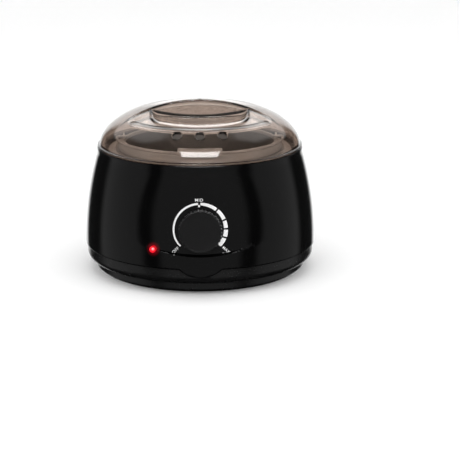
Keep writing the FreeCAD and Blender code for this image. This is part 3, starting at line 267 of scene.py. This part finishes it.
def lid_skins(p, blend):
    """The outer and inner faces of the dome. blend rounds the lips of the scoops away from the rib."""
    x, y, z = p.T
    r = np.hypot(x, y)
    outer = np.where(z > LID_BASE, ellipsoid(r, z, DOME_R, DOME_H), r - DOME_R)
    inner = np.where(z > LID_BASE, ellipsoid(r, z, DOME_IN, DOME_H - DOME_WALL), r - DOME_IN)
    for side in (1, -1):
        run = rib_run(x, side * y)
        soft = blend * step(2, 16, run) * (1 - step(56, 66, r))
        edge = 0.35 + 7.6 * soft
        inner_edge = edge + 2.2 * (1 - step(0, 3, run))
        outer = smax(outer, -scoop_field(x, side * y, z, 0.0, soft), edge)
        inner = smax(inner, -scoop_field(x, side * y, z, DOME_WALL, soft), inner_edge)
    nub = np.sqrt(r**2 + (z - NUB_TOP + NUB_R) ** 2) - NUB_R
    return smin(outer, nub, 0.25), inner


def lid_sort(p):
    """1 for points of the outer face near the scoops, 2 for those of the inner face, else 0."""
    outer, inner = lid_skins(p, 0.0)
    near = (np.hypot(p[:, 0], p[:, 1]) < 63.5) & (p[:, 2] > LID_BASE + 5)
    return np.where(near, np.where(np.abs(inner) < np.abs(outer), 2, 1), 0)


def lid_field(p, tags):
    x, y, z = p.T
    r = np.hypot(x, y)
    top, inner = lid_skins(p, 1.0)
    outer = smax(top, LID_BASE - z, 0.4)
    bead = smax(r - RIM_R, np.abs(z - LID_BASE - BEAD_HALF) - BEAD_HALF, 1.3)
    lip = smax(r - LIP_R, np.abs(z - LID_BASE + LIP_HALF) - LIP_HALF, 0.4)
    outer = smin(smin(outer, bead, 0.5), lip, 0.3)
    shell = smax(outer, -inner, 0.3)
    height = LID_BASE + DOME_H * math.sqrt(1 - (VENT_RING / DOME_R) ** 2)
    lean = math.atan2((height - LID_BASE) / DOME_H**2, VENT_RING / DOME_R**2)
    for turn in VENT_TURNS:
        a = math.radians(turn)
        axis = np.array([math.sin(a) * math.cos(lean), -math.cos(a) * math.cos(lean), math.sin(lean)])
        d = p - np.array([VENT_RING * math.sin(a), -VENT_RING * math.cos(a), height])
        hole = np.linalg.norm(d - np.outer(d @ axis, axis), axis=1) - VENT_R
        shell = np.where(y < -40, smax(shell, -hole, 0.5), shell)
    return np.where(tags == 1, top, np.where(tags == 2, -inner, shell))


def panel_fade(z):
    """How far the panel comes forward towards its top, to end in the barrel."""
    return 1.3 * step(60, 97, z)


def housing_faces(p):
    """The barrel, the panel and the shelf under the panel, each as a field."""
    x, y, z = p.T
    arc = np.hypot(np.hypot(x, y) - (SEAM_R - BEND), np.maximum(z - SEAM_Z, 0)) - BEND
    cone = np.hypot(x, y - (PANEL_BEND - PANEL_LOW)) - (PANEL_BEND - (z - SHELF_Z) * math.tan(TILT))
    shelf = (z - SHELF_Z - (PANEL_Y + y) * math.tan(SLOPE)) * math.cos(SLOPE)
    return arc, cone * math.cos(TILT), shelf


def housing_creases(p):
    """Pairs of faces that meet in a sharp corner: panel and shelf, shelf and barrel."""
    y, z = p[:, 1], p[:, 2]
    arc, cone, shelf = housing_faces(p)
    away = np.where((y < -50) & (z < 60), 0.0, 99.0)
    low = np.where((y < -50) & (z < 34.5), 0.0, 99.0)
    return [(cone + away, shelf + away), (arc + low, shelf + low)]


def housing_field(p, tags):
    x, y, z = p.T
    arc, cone, shelf = housing_faces(p)
    side = smin(arc, np.hypot(x, y) - RIM_R, 0.5)
    front = np.minimum(cone - panel_fade(z), shelf)
    edge = 0.02 + 2.9 * step(33, 46, z)
    side = np.where(y < -50, smax(side, front, edge), side)
    side = smax(side, z - RIM_Z, 0.7)
    tongue = np.hypot(x, z - (SEAM_Z - TONGUE_DROP + TONGUE_R)) - TONGUE_R
    bottom = np.where(y < 0, smin(SEAM_Z - z, tongue, 0.3), SEAM_Z - z)
    return smax(side, bottom, 0.35)


# ---------------------------------------------------------------- shader nodes
def put(tree, kind, feeds=None, **settings):
    """Adds a shader node. feeds gives inputs by name or number: a value, or another node's output."""
    node = tree.nodes.new("ShaderNode" + kind)
    for key, value in settings.items():
        setattr(node, key, value)
    for key, value in (feeds or {}).items():
        if isinstance(value, bpy.types.NodeSocket):
            tree.links.new(value, node.inputs[key])
        else:
            node.inputs[key].default_value = value
    return node


def calc(tree, kind, *terms):
    """A sum or other operation on numbers and outputs of nodes."""
    return put(tree, "Math", dict(enumerate(terms)), operation=kind).outputs[0]


def spread(tree, value, low, high, first=0.0, last=1.0, kind="SMOOTHSTEP"):
    """Goes smoothly from first to last as the value goes from low to high."""
    feeds = {"Value": value, "From Min": low, "From Max": high, "To Min": first, "To Max": last}
    return put(tree, "MapRange", feeds, interpolation_type=kind).outputs["Result"]


def two_colours(tree, share, first, second):
    return put(tree, "Mix", {0: share, 6: first, 7: second}, data_type="RGBA").outputs[2]


def place(tree):
    return put(tree, "TexCoord").outputs["Object"]


def distance(tree, centre):
    """How far a point of the surface is from a given point, in metres."""
    return put(tree, "VectorMath", {0: place(tree), 1: centre}, operation="DISTANCE").outputs["Value"]


def noise(mat, scale, detail=3.0, stretch=None):
    tree = mat.node_tree
    source = place(tree)
    if stretch:
        source = put(tree, "Mapping", {"Vector": source, "Scale": stretch}).outputs["Vector"]
    return put(tree, "TexNoise", {"Vector": source, "Scale": scale, "Detail": detail})


def ramp(mat, source, low, high, into):
    """Maps a 0 to 1 value onto a colour or number range and links it."""
    node = put(mat.node_tree, "ValToRGB", {"Fac": source.outputs["Fac"]})
    for stop, position, v in zip(node.color_ramp.elements, (0.35, 0.65), (low, high)):
        stop.position, stop.color = position, (v, v, v, 1) if isinstance(v, float) else (*v, 1)
    mat.node_tree.links.new(node.outputs["Color"], into)


def bump(mat, shader, source, strength, depth):
    feeds = {"Strength": strength, "Distance": depth * MM, "Height": source.outputs["Fac"]}
    node = put(mat.node_tree, "Bump", feeds)
    mat.node_tree.links.new(node.outputs["Normal"], shader.inputs["Normal"])


# ---------------------------------------------------------------- materials
def scaled(colour, factor):
    return tuple(c * factor for c in colour)


def material(name, base, rough=0.4, metal=0.0, **inputs):
    mat = bpy.data.materials.new(name)
    mat.use_nodes = True
    shader = mat.node_tree.nodes["Principled BSDF"]
    shader.inputs["Base Color"].default_value = (*base, 1)
    shader.inputs["Roughness"].default_value = rough
    shader.inputs["Metallic"].default_value = metal
    for key, value in inputs.items():
        shader.inputs[key.replace("_", " ")].default_value = value
    return mat, shader


def moulded(name, base, rough, uneven=0.04, grain=900.0, relief=0.02, **inputs):
    """Moulded plastic: fine grain, slow colour drift and uneven gloss."""
    mat, shader = material(name, base, rough, **inputs)
    ramp(mat, noise(mat, 26.0, 4.0), scaled(base, 0.88), scaled(base, 1.12), shader.inputs["Base Color"])
    ramp(mat, noise(mat, 60.0, 5.0), rough - uneven, rough + uneven, shader.inputs["Roughness"])
    bump(mat, shader, noise(mat, grain, 2.0), 0.35, relief)
    return mat


def brushed(name, base, rough, stretch, scale=420.0, relief=0.012, metal=1.0):
    """Metal with fine drawn lines along one direction."""
    mat, shader = material(name, base, rough, metal)
    lines = noise(mat, scale, 4.0, stretch)
    ramp(mat, lines, scaled(base, 0.86), base, shader.inputs["Base Color"])
    ramp(mat, noise(mat, 90.0, 3.0, stretch), rough - 0.05, rough + 0.08, shader.inputs["Roughness"])
    bump(mat, shader, lines, 0.3, relief)
    return mat


def smoked_glass(name, veil, tint, density, rough=0.025):
    """Tinted clear plastic, coloured by its thickness. Lamp light goes straight through it."""
    mat, shader = material(name, veil, rough, 0.0, IOR=1.49, Transmission_Weight=1.0)
    tree = mat.node_tree
    surface = tree.nodes["Material Output"].inputs
    ramp(mat, noise(mat, 34.0, 3.0), scaled(veil, 0.98), veil, shader.inputs["Base Color"])
    ramp(mat, noise(mat, 55.0, 4.0), rough * 0.6, rough * 1.6, shader.inputs["Roughness"])
    clear = put(tree, "BsdfTransparent", {"Color": (0.97, 0.97, 0.97, 1)})
    path = put(tree, "LightPath").outputs
    lamp_light = calc(tree, "MAXIMUM", path["Is Shadow Ray"], path["Is Diffuse Ray"])
    mix = put(tree, "MixShader", {"Fac": lamp_light, 1: shader.outputs[0], 2: clear.outputs[0]})
    depth = put(tree, "VolumeAbsorption", {"Color": (*tint, 1), "Density": density})
    tree.links.new(mix.outputs[0], surface["Surface"])
    tree.links.new(depth.outputs[0], surface["Volume"])
    return mat


def deck_finish(name, inside, outside, radius, width):
    """Satin whose colour changes at a distance from the vertical axis, in millimetres."""
    mat, shader = material(name, inside, 0.35)
    tree = mat.node_tree
    flat = put(tree, "VectorMath", {0: place(tree), 1: (1, 1, 0)}, operation="MULTIPLY").outputs[0]
    out = put(tree, "VectorMath", {0: flat}, operation="LENGTH").outputs["Value"]
    share = spread(tree, out, (radius - width / 2) * MM, (radius + width / 2) * MM)
    tree.links.new(two_colours(tree, share, (*inside, 1), (*outside, 1)), shader.inputs["Base Color"])
    ramp(mat, noise(mat, 80.0, 4.0), 0.30, 0.42, shader.inputs["Roughness"])
    bump(mat, shader, noise(mat, 700.0, 2.0), 0.3, 0.02)
    return mat


def glowing(name, base, light, strength):
    mat, shader = material(name, base, 0.12)
    ramp(mat, noise(mat, 700.0, 2.0), scaled(base, 0.9), base, shader.inputs["Base Color"])
    shader.inputs["Emission Color"].default_value = (*light, 1)
    shader.inputs["Emission Strength"].default_value = strength
    return mat


def glow_near(mat, centre, light, near, far, low, high):
    """Emission that goes from high to low between two distances (mm) from a point."""
    tree = mat.node_tree
    shader = tree.nodes["Principled BSDF"]
    strength = spread(tree, distance(tree, centre), near * MM, far * MM, high, low, "SMOOTHERSTEP")
    tree.links.new(strength, shader.inputs["Emission Strength"])
    shader.inputs["Emission Color"].default_value = (*light, 1)


def painted_glint_near(mat, centre, radius, colour):
    """A painted glint: a small bright spot in the emission colour round a point, standing in for a
    reflection.
    """
    tree = mat.node_tree
    light = tree.nodes["Principled BSDF"].inputs["Emission Color"]
    share = spread(tree, distance(tree, centre), radius * 0.4 * MM, radius * MM, 1.0, 0.0)
    tree.links.new(two_colours(tree, share, light.default_value, (*colour, 1)), light)


BLACK = moulded("black_gloss", (0.0014, 0.0014, 0.0015), 0.13, 0.02, 900.0, 0.005,
                Specular_IOR_Level=0.25)
BASE_BLACK = moulded("base_satin", (0.0055, 0.0055, 0.0056), 0.26, 0.04, 700.0, 0.02,
                     Specular_IOR_Level=0.3)
KNOB_BLACK = moulded("knob_satin", (0.0030, 0.0030, 0.0031), 0.22, 0.03, 1100.0, 0.006,
                     Specular_IOR_Level=0.3)
DECK = deck_finish("deck_satin", (0.92, 0.91, 0.89), (0.004, 0.004, 0.004), 74.0, 1.0)
SMOKE = smoked_glass("smoked_lid", (0.79, 0.76, 0.735), (0.26, 0.106, 0.0), 220.0)
ALUMINIUM = brushed("aluminium", (0.90, 0.89, 0.87), 0.34, (1, 1, 40), metal=0.35)
# Painted shade: a dark sheet inside the pot stands for the shade that the lid casts into it.
POT_PAINTED_SHADE = moulded("pot_painted_shade", (0.17, 0.168, 0.163), 0.42, 0.05, 500.0, 0.02)
RED_LENS = glowing("red_lens", (0.5, 0.01, 0.015), (1.0, 0.007, 0.02), 1.0)
INK = moulded("white_ink", (0.95, 0.95, 0.95), 0.5, 0.03, 1500.0, 0.01)
# Painted light: the black housing glows red round the lamp, standing in for the lamp's light falling on the
# skin.
glow_near(BLACK, LAMP_AT, (1.0, 0.0, 0.03), 2.0, 6.5, 0.0, 0.12)
glow_near(RED_LENS, LAMP_NOSE, (1.0, 0.007, 0.02), 1.6, 3.6, 0.3, 1.0)
# Painted reflection: a pale glint on the red lens, standing in for the studio light mirrored in it.
painted_glint_near(RED_LENS, LAMP_NOSE + Vector((1.1, 0, 0.9)) * MM, 1.5, (1.0, 0.35, 0.38))

BY_SLOT = {
    "black_abs": BLACK, "base_abs": BASE_BLACK, "deck_abs": DECK, "knob_abs": KNOB_BLACK,
    "smoked_pc": SMOKE, "pot_aluminium": ALUMINIUM, "red_lens": RED_LENS,
    "aluminium": brushed("well_aluminium", (0.60, 0.59, 0.57), 0.42, (1, 1, 30)),
    "steel": brushed("steel", (0.56, 0.56, 0.57), 0.36, (1, 1, 12)),
    "bright_steel": brushed("bright_steel", (0.95, 0.95, 0.95), 0.25, (1, 1, 60), 700.0, metal=0.4),
    "brass": brushed("brass", (0.70, 0.52, 0.22), 0.32, (1, 1, 10)),
    "rubber": moulded("rubber", (0.012, 0.012, 0.012), 0.8, 0.08, 600.0, 0.05),
    "lamp_glass": glowing("lamp", (0.9, 0.4, 0.3), (1.0, 0.10, 0.08), 2.0),
    "nylon": moulded("nylon", (0.66, 0.65, 0.61), 0.5, 0.06, 500.0, 0.03),
    "ceramic": moulded("ceramic", (0.72, 0.70, 0.64), 0.6, 0.06, 400.0, 0.05),
    "wool": moulded("wool", (0.62, 0.60, 0.55), 0.9, 0.05, 260.0, 0.5),
    "wire_red": moulded("red_wire", (0.40, 0.02, 0.02), 0.45),
    "wire_white": moulded("white_wire", (0.68, 0.68, 0.66), 0.45),
    "wire_black": moulded("black_wire", (0.014, 0.014, 0.014), 0.45),
}
SLOT_OF = {s["node"]: s["material_slot"] for s in frame["record"]["subparts"]}
for name, obj in NODES.items():
    obj.data.materials.clear()
    obj.data.materials.append(BY_SLOT[SLOT_OF[name]])


def dress(obj, mat, body):
    obj.data.materials.append(mat)
    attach(obj, body)
    return obj


# ---------------------------------------------------------------- housing and lid
housing = refine("housing_skin", "outer_housing", HOUSING_VOXEL, housing_field, HOUSING_REACH,
                 creases=housing_creases)
dress(housing, BLACK, "body")
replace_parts(housing, "outer_housing")

lid = refine("lid_shell", "lid_dome", LID_VOXEL, lid_field, LID_REACH, lid_sort)
dress(lid, SMOKE, "lid")
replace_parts(lid, "lid_dome")


# ---------------------------------------------------------------- knob
def knob():
    """The fluted cap, closed in front."""
    flutes = 36
    profile = [  # radius, height and depth of the flutes
        (13.6, 1.2, 0), (14.2, 0.7, 0), (15.6, 0.55, 0.15), (16.2, 0.6, 0.5), (16.45, 0.9, 0.75),
        (16.5, 1.5, 0.85), (16.5, 5.0, 0.85), (16.5, 9.0, 0.85), (16.5, 13.3, 0.85), (16.44, 13.8, 0.82),
        (16.25, 14.2, 0.75), (15.95, 14.40, 0.66), (15.5, 14.44, 0.55), (15.0, 14.38, 0.3),
        (14.4, 14.30, 0), (13.6, 14.24, 0), (10.0, 14.16, 0), (5.0, 14.12, 0), (1.0, 14.11, 0),
    ]
    rows, steps = len(profile), flutes * 12

    def wave(angle, i):
        return -profile[i][2] * max(0.0, math.cos(flutes * angle)) ** 0.8

    obj = lathe("knob_cap", [point[:2] for point in profile], steps, False, wave)
    bm = bmesh.new()
    bm.from_mesh(obj.data)
    bm.verts.ensure_lookup_table()
    bm.faces.new([bm.verts[i] for i in range(rows - 1, rows * steps, rows)]).smooth = True
    bm.to_mesh(obj.data)
    bm.free()
    stand_on_dial(obj)
    return dress(obj, KNOB_BLACK, "knob")


def knob_hub():
    """The hollow under the cap with its hub, seen only from behind."""
    outline = [
        (3.06, 3.8), (5.0, 3.8), (5.0, 11.0), (14.15, 11.0), (14.15, 1.0), (13.6, 1.2), (13.6, 11.6),
        (3.06, 11.6),
    ]
    obj = lathe("knob_hub", outline, 96)
    stand_on_dial(obj)
    return dress(obj, KNOB_BLACK, "knob")


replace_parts(knob(), "control_knob")
knob_hub()


# ---------------------------------------------------------------- dial printing
def on_panel(u, v):
    """A point just over the panel's skin from dial coordinates, in metres."""
    z = DIAL_Z + v * math.cos(TILT)
    bend = PANEL_BEND - (z - SHELF_Z) * math.tan(TILT)
    y = (PANEL_BEND - PANEL_LOW) - math.sqrt(bend**2 - u**2)
    return np.array([u, y - panel_fade(z), z]) * MM + OUT * INK_LIFT * MM


def ring_piece(name, start, end, inner, outer):
    """A printed arc, in degrees clockwise from the top. inner and outer give the radius at an angle."""
    steps = max(4, int(abs(end - start) / 2))
    points, faces = [], []
    for i in range(steps + 1):
        a = start + (end - start) * i / steps
        across, up = math.sin(math.radians(a)), math.cos(math.radians(a))
        for radius in (inner(a), (inner(a) + outer(a)) / 2, outer(a)):
            points.append(on_panel(radius * across, radius * up))
        if i:
            k = 3 * i
            faces += [(k - 3, k, k + 1, k - 2), (k - 2, k + 1, k + 2, k - 1)]
    return new_mesh(name, points, faces)


def word(name, text, height, u, v, turn):
    """A printed word laid on the panel, centred on (u, v) and turned clockwise by some degrees."""
    curve = bpy.data.curves.new(name, "FONT")
    curve.body, curve.size, curve.align_x, curve.align_y = text, height / 0.7, "CENTER", "CENTER"
    curve.resolution_u, curve.offset, curve.space_character = 6, 0.008, 1.14
    mesh = evaluated_mesh(link(name + "_text", curve))
    cos, sin = math.cos(math.radians(turn)), math.sin(math.radians(turn))
    for vert in mesh.vertices:
        x, y = vert.co.x, vert.co.y
        vert.co = Vector(on_panel(u + x * cos + y * sin, v - x * sin + y * cos))
    return link(name, mesh)


def dial_print():
    """The scale round the knob: a thin arc up to the middle, and blocks that widen towards the end."""
    middle, scale_start, scale_end = -4.7, -129, 130
    block_ends = (-2.2, 39.6, 68.0, 88.1, 107.6, 131.5)

    def rim(a):
        return DIAL_R - 0.9 * max(0.0, (abs(a) - 95) / 34) ** 2

    def thin(a):
        return rim(a) - 1.2 - 0.35 * (a - scale_start) / 124

    def thick(a):
        return rim(a) - 1.8 - 1.5 * (min(a, 120) / 120) ** 0.6

    parts = [ring_piece("dial_arc_low", scale_start, middle, thin, rim)]
    for i, (a, b) in enumerate(zip(block_ends, block_ends[1:])):
        parts.append(ring_piece(f"dial_arc_{i}", max(a + 1.9, 0.4), b - 1.9, thick, rim))
    parts.append(ring_piece("dial_hook", 124.0, scale_end, lambda a: DIAL_R - 5.6, lambda a: thick(a) + 0.1))
    parts.append(ring_piece("dial_dot", -5.2, -0.4, lambda a: DIAL_R - 3.3, lambda a: DIAL_R - 1.7))
    parts.append(word("dial_mid", "MID", 2.3, -0.9, 22.95, 0))
    parts.append(word("dial_off", "OFF", 2.2, -18.9, -15.6, -42))
    parts.append(word("dial_max", "MAX", 2.1, 19.5, -15.5, 41))
    for part in parts:
        dress(part, INK, "body")


dial_print()


# ---------------------------------------------------------------- red lamp
def lamp_lens():
    dome = [(LENS_R * math.cos(t), LENS_BASE + LENS_R * math.sin(t))
            for t in np.linspace(0.12, math.pi / 2 - 0.01, 14)]
    obj = lathe("lamp_dome", [(LENS_R, -4.0), (LENS_R, LENS_BASE)] + dome, 64, False)
    turn = LAMP_AXIS.to_track_quat("Z", "Y")
    for v in obj.data.vertices:
        v.co = LAMP_AT + turn @ v.co
    return dress(obj, RED_LENS, "body")


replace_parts(lamp_lens(), "indicator_lens")


# ---------------------------------------------------------------- pot
def pot_shell():
    outline = [
        (0.02, 45.0), (56.0, 45.0), (58.2, 45.7), (59.4, 47.6), (59.6, 50.0), (60.9, 101.6),
        (61.2, 102.3), (64.9, 98.75), (65.5, 98.72), (66.1, 98.9), (66.15, 99.3), (62.0, 104.1),
        (61.5, 104.5), (60.9, 104.6), (60.4, 104.45), (60.05, 104.0), (59.9, 103.2), (58.6, 50.0),
        (58.2, 47.9), (57.0, 46.6), (55.0, 46.1), (0.02, 46.0),
    ]
    return dress(lathe("pot_shell", outline, 320, False), ALUMINIUM, "pot")


def pot_painted_shade():
    """A dark sheet inside the pot, up to just under its rim: painted shade of the pot's interior under the
    lid.
    """
    outline = [
        (0.02, 46.0), (55.0, 46.1), (57.0, 46.6), (58.2, 47.9), (58.6, 50.0), (59.86, 101.6),
        (59.80, 101.9), (59.55, 101.7), (58.3, 50.0), (57.9, 48.1), (56.8, 46.9), (55.0, 46.4),
        (0.02, 46.3),
    ]
    return dress(lathe("pot_painted_shade", outline, 320, False), POT_PAINTED_SHADE, "pot")


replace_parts(pot_shell(), "inner_pot")
pot_painted_shade()


# ---------------------------------------------------------------- floor, light and camera
AMBIENT, FLOOR_LIFT, FLOOR_BEYOND, INDOORS, WHITE, SEEN_CAP = 0.88, 0.12, 0.85, 0.3, 0.98, 6.0
BACKDROP, BACK_CORE, BACK_WINGS, BACK_BOX, FRONT_BOX = 1.4, 1.1, 2.3, 1.15, 15.0
FRONT, SIDE, DIM = 0.39, 0.47, 0.025
FLOOR_HALF = 6
CAMERA_AT, CAMERA_AIM, CAMERA_LENS = (0.0, -1.2173, 0.3541), (0.02425, 0, 0.0288), 120.6


def floor():
    corners = [(-FLOOR_HALF, -FLOOR_HALF, 0), (FLOOR_HALF, -FLOOR_HALF, 0),
               (FLOOR_HALF, FLOOR_HALF, 0), (-FLOOR_HALF, FLOOR_HALF, 0)]
    obj = new_mesh("floor", corners, [(0, 1, 2, 3)])
    mat, shader = material("floor", (0.9, 0.9, 0.9), 0.9, Specular_IOR_Level=0.1)
    tree = mat.node_tree
    ramp(mat, noise(mat, 3.0), scaled((1, 1, 1), 0.885), scaled((1, 1, 1), 0.895),
         shader.inputs["Base Color"])
    path = put(tree, "LightPath").outputs
    lift = calc(tree, "MULTIPLY", path["Is Camera Ray"], FLOOR_LIFT)
    glow = calc(tree, "MULTIPLY_ADD", path["Is Transmission Ray"], FLOOR_BEYOND, lift)
    tree.links.new(glow, shader.inputs["Emission Strength"])
    shader.inputs["Emission Color"].default_value = (1, 1, 1, 1)
    obj.data.materials.append(mat)
    obj.visible_glossy = False


def world():
    """A pale studio: white backdrop, softboxes high in front and behind, dim strips at the sides.

    Only reflections show the studio in full. What is seen through the lid is white low down and a
    muted studio above, and all other light comes from an even ambient level.
    """
    w = bpy.data.worlds.new("studio")
    bpy.context.scene.world = w
    w.use_nodes = True
    w.cycles.sampling_method = "NONE"
    tree = w.node_tree

    def rise(value, low, high):
        return spread(tree, value, low, high)

    def fall(value, low, high):
        return spread(tree, value, low, high, 1.0, 0.0)

    def chain(kind, first, *others):
        for other in others:
            first = calc(tree, kind, first, other)
        return first

    def product(*factors):
        return chain("MULTIPLY", *factors)

    def total(*terms):
        return chain("ADD", *terms)

    def rest_of(share):
        return calc(tree, "SUBTRACT", 1.0, share)

    split = put(tree, "SeparateXYZ", {0: put(tree, "TexCoord").outputs["Generated"]})
    x, y, z = split.outputs
    wide = calc(tree, "ABSOLUTE", x)
    behind, above = rise(y, 0.15, 0.45), rise(z, -0.62, -0.38)
    backdrop = product(fall(wide, 0.34, 0.48), behind, above, fall(z, 0.33, 0.38), BACKDROP)
    core = product(fall(wide, 0.07, 0.16), behind, rise(z, 0.10, 0.16), fall(z, 0.40, 0.46), BACK_CORE)
    wings = product(rise(wide, 0.15, 0.21), fall(wide, 0.30, 0.38), behind,
                    rise(z, 0.44, 0.54), fall(z, 0.70, 0.78), BACK_WINGS)
    hole = product(fall(wide, 0.10, 0.22), fall(z, 0.58, 0.68), rise(z, 0.46, 0.52))
    back_box = product(fall(wide, 0.60, 0.75), rise(y, -0.05, 0.2),
                       rise(z, 0.33, 0.38), fall(z, 0.88, 0.97), rest_of(hole), BACK_BOX)
    front_box = product(fall(wide, 0.30, 0.34), fall(y, -0.3, -0.2),
                        rise(z, 0.46, 0.50), fall(z, 0.74, 0.78), FRONT_BOX)
    turn = calc(tree, "DIVIDE", calc(tree, "ARCTAN2", wide, product(y, -1.0)), math.pi)
    strips = put(tree, "ValToRGB", {"Fac": turn})
    stops = [(0.0, FRONT), (0.20, FRONT), (0.24, DIM), (0.30, DIM), (0.345, SIDE), (0.62, SIDE), (0.67, DIM)]
    elements = strips.color_ramp.elements
    while len(elements) < len(stops):
        elements.new(0.5)
    for element, (position, level) in zip(elements, stops):
        element.position, element.color = position, (level, level, level, 1)
    low = product(strips.outputs["Color"], fall(z, 0.35, 0.65), above)
    studio = total(backdrop, core, wings, back_box, front_box, low)

    path = put(tree, "LightPath").outputs
    seen, mirrored, through = (path[f"Is {kind} Ray"] for kind in ("Camera", "Glossy", "Transmission"))
    upward = rise(z, 0.15, 0.35)
    muted = total(calc(tree, "MINIMUM", studio, SEEN_CAP), INDOORS)
    beyond = total(product(rest_of(upward), WHITE), product(upward, muted))
    others = product(rest_of(calc(tree, "MAXIMUM", seen, mirrored)), rest_of(through))
    level = total(
        product(seen, WHITE),
        product(product(mirrored, rest_of(through)), studio),
        product(through, beyond),
        product(others, AMBIENT),
    )
    back = tree.nodes["Background"].inputs
    tree.links.new(level, back["Strength"])
    back["Color"].default_value = (1, 1, 1, 1)


def aim(obj, target):
    """Turns a lamp or the camera to a point."""
    obj.rotation_euler = (Vector(target) - obj.location).to_track_quat("-Z", "Y").to_euler()


def area(name, location, target, size, power):
    light = bpy.data.lights.new(name, "AREA")
    light.shape, light.size, light.energy = "SQUARE", size, power
    obj = link(name, light)
    obj.location = location
    aim(obj, target)
    obj.visible_glossy = False


floor()
world()
area("key", (0.0, -0.5, 1.9), (0, 0, 0.05), 1.6, 10)
area("fill_left", (-1.5, -0.9, 0.9), (0, 0, 0.07), 1.0, 5)
area("fill_right", (1.5, -0.9, 0.9), (0, 0, 0.07), 1.0, 5)

camera = link("camera", bpy.data.cameras.new("camera"))
bpy.context.scene.camera = camera
camera.location = CAMERA_AT
aim(camera, CAMERA_AIM)
camera.data.sensor_width = 36.0
camera.data.lens = CAMERA_LENS
camera.data.clip_start = 0.05
bpy.context.scene.view_settings.view_transform = "Standard"
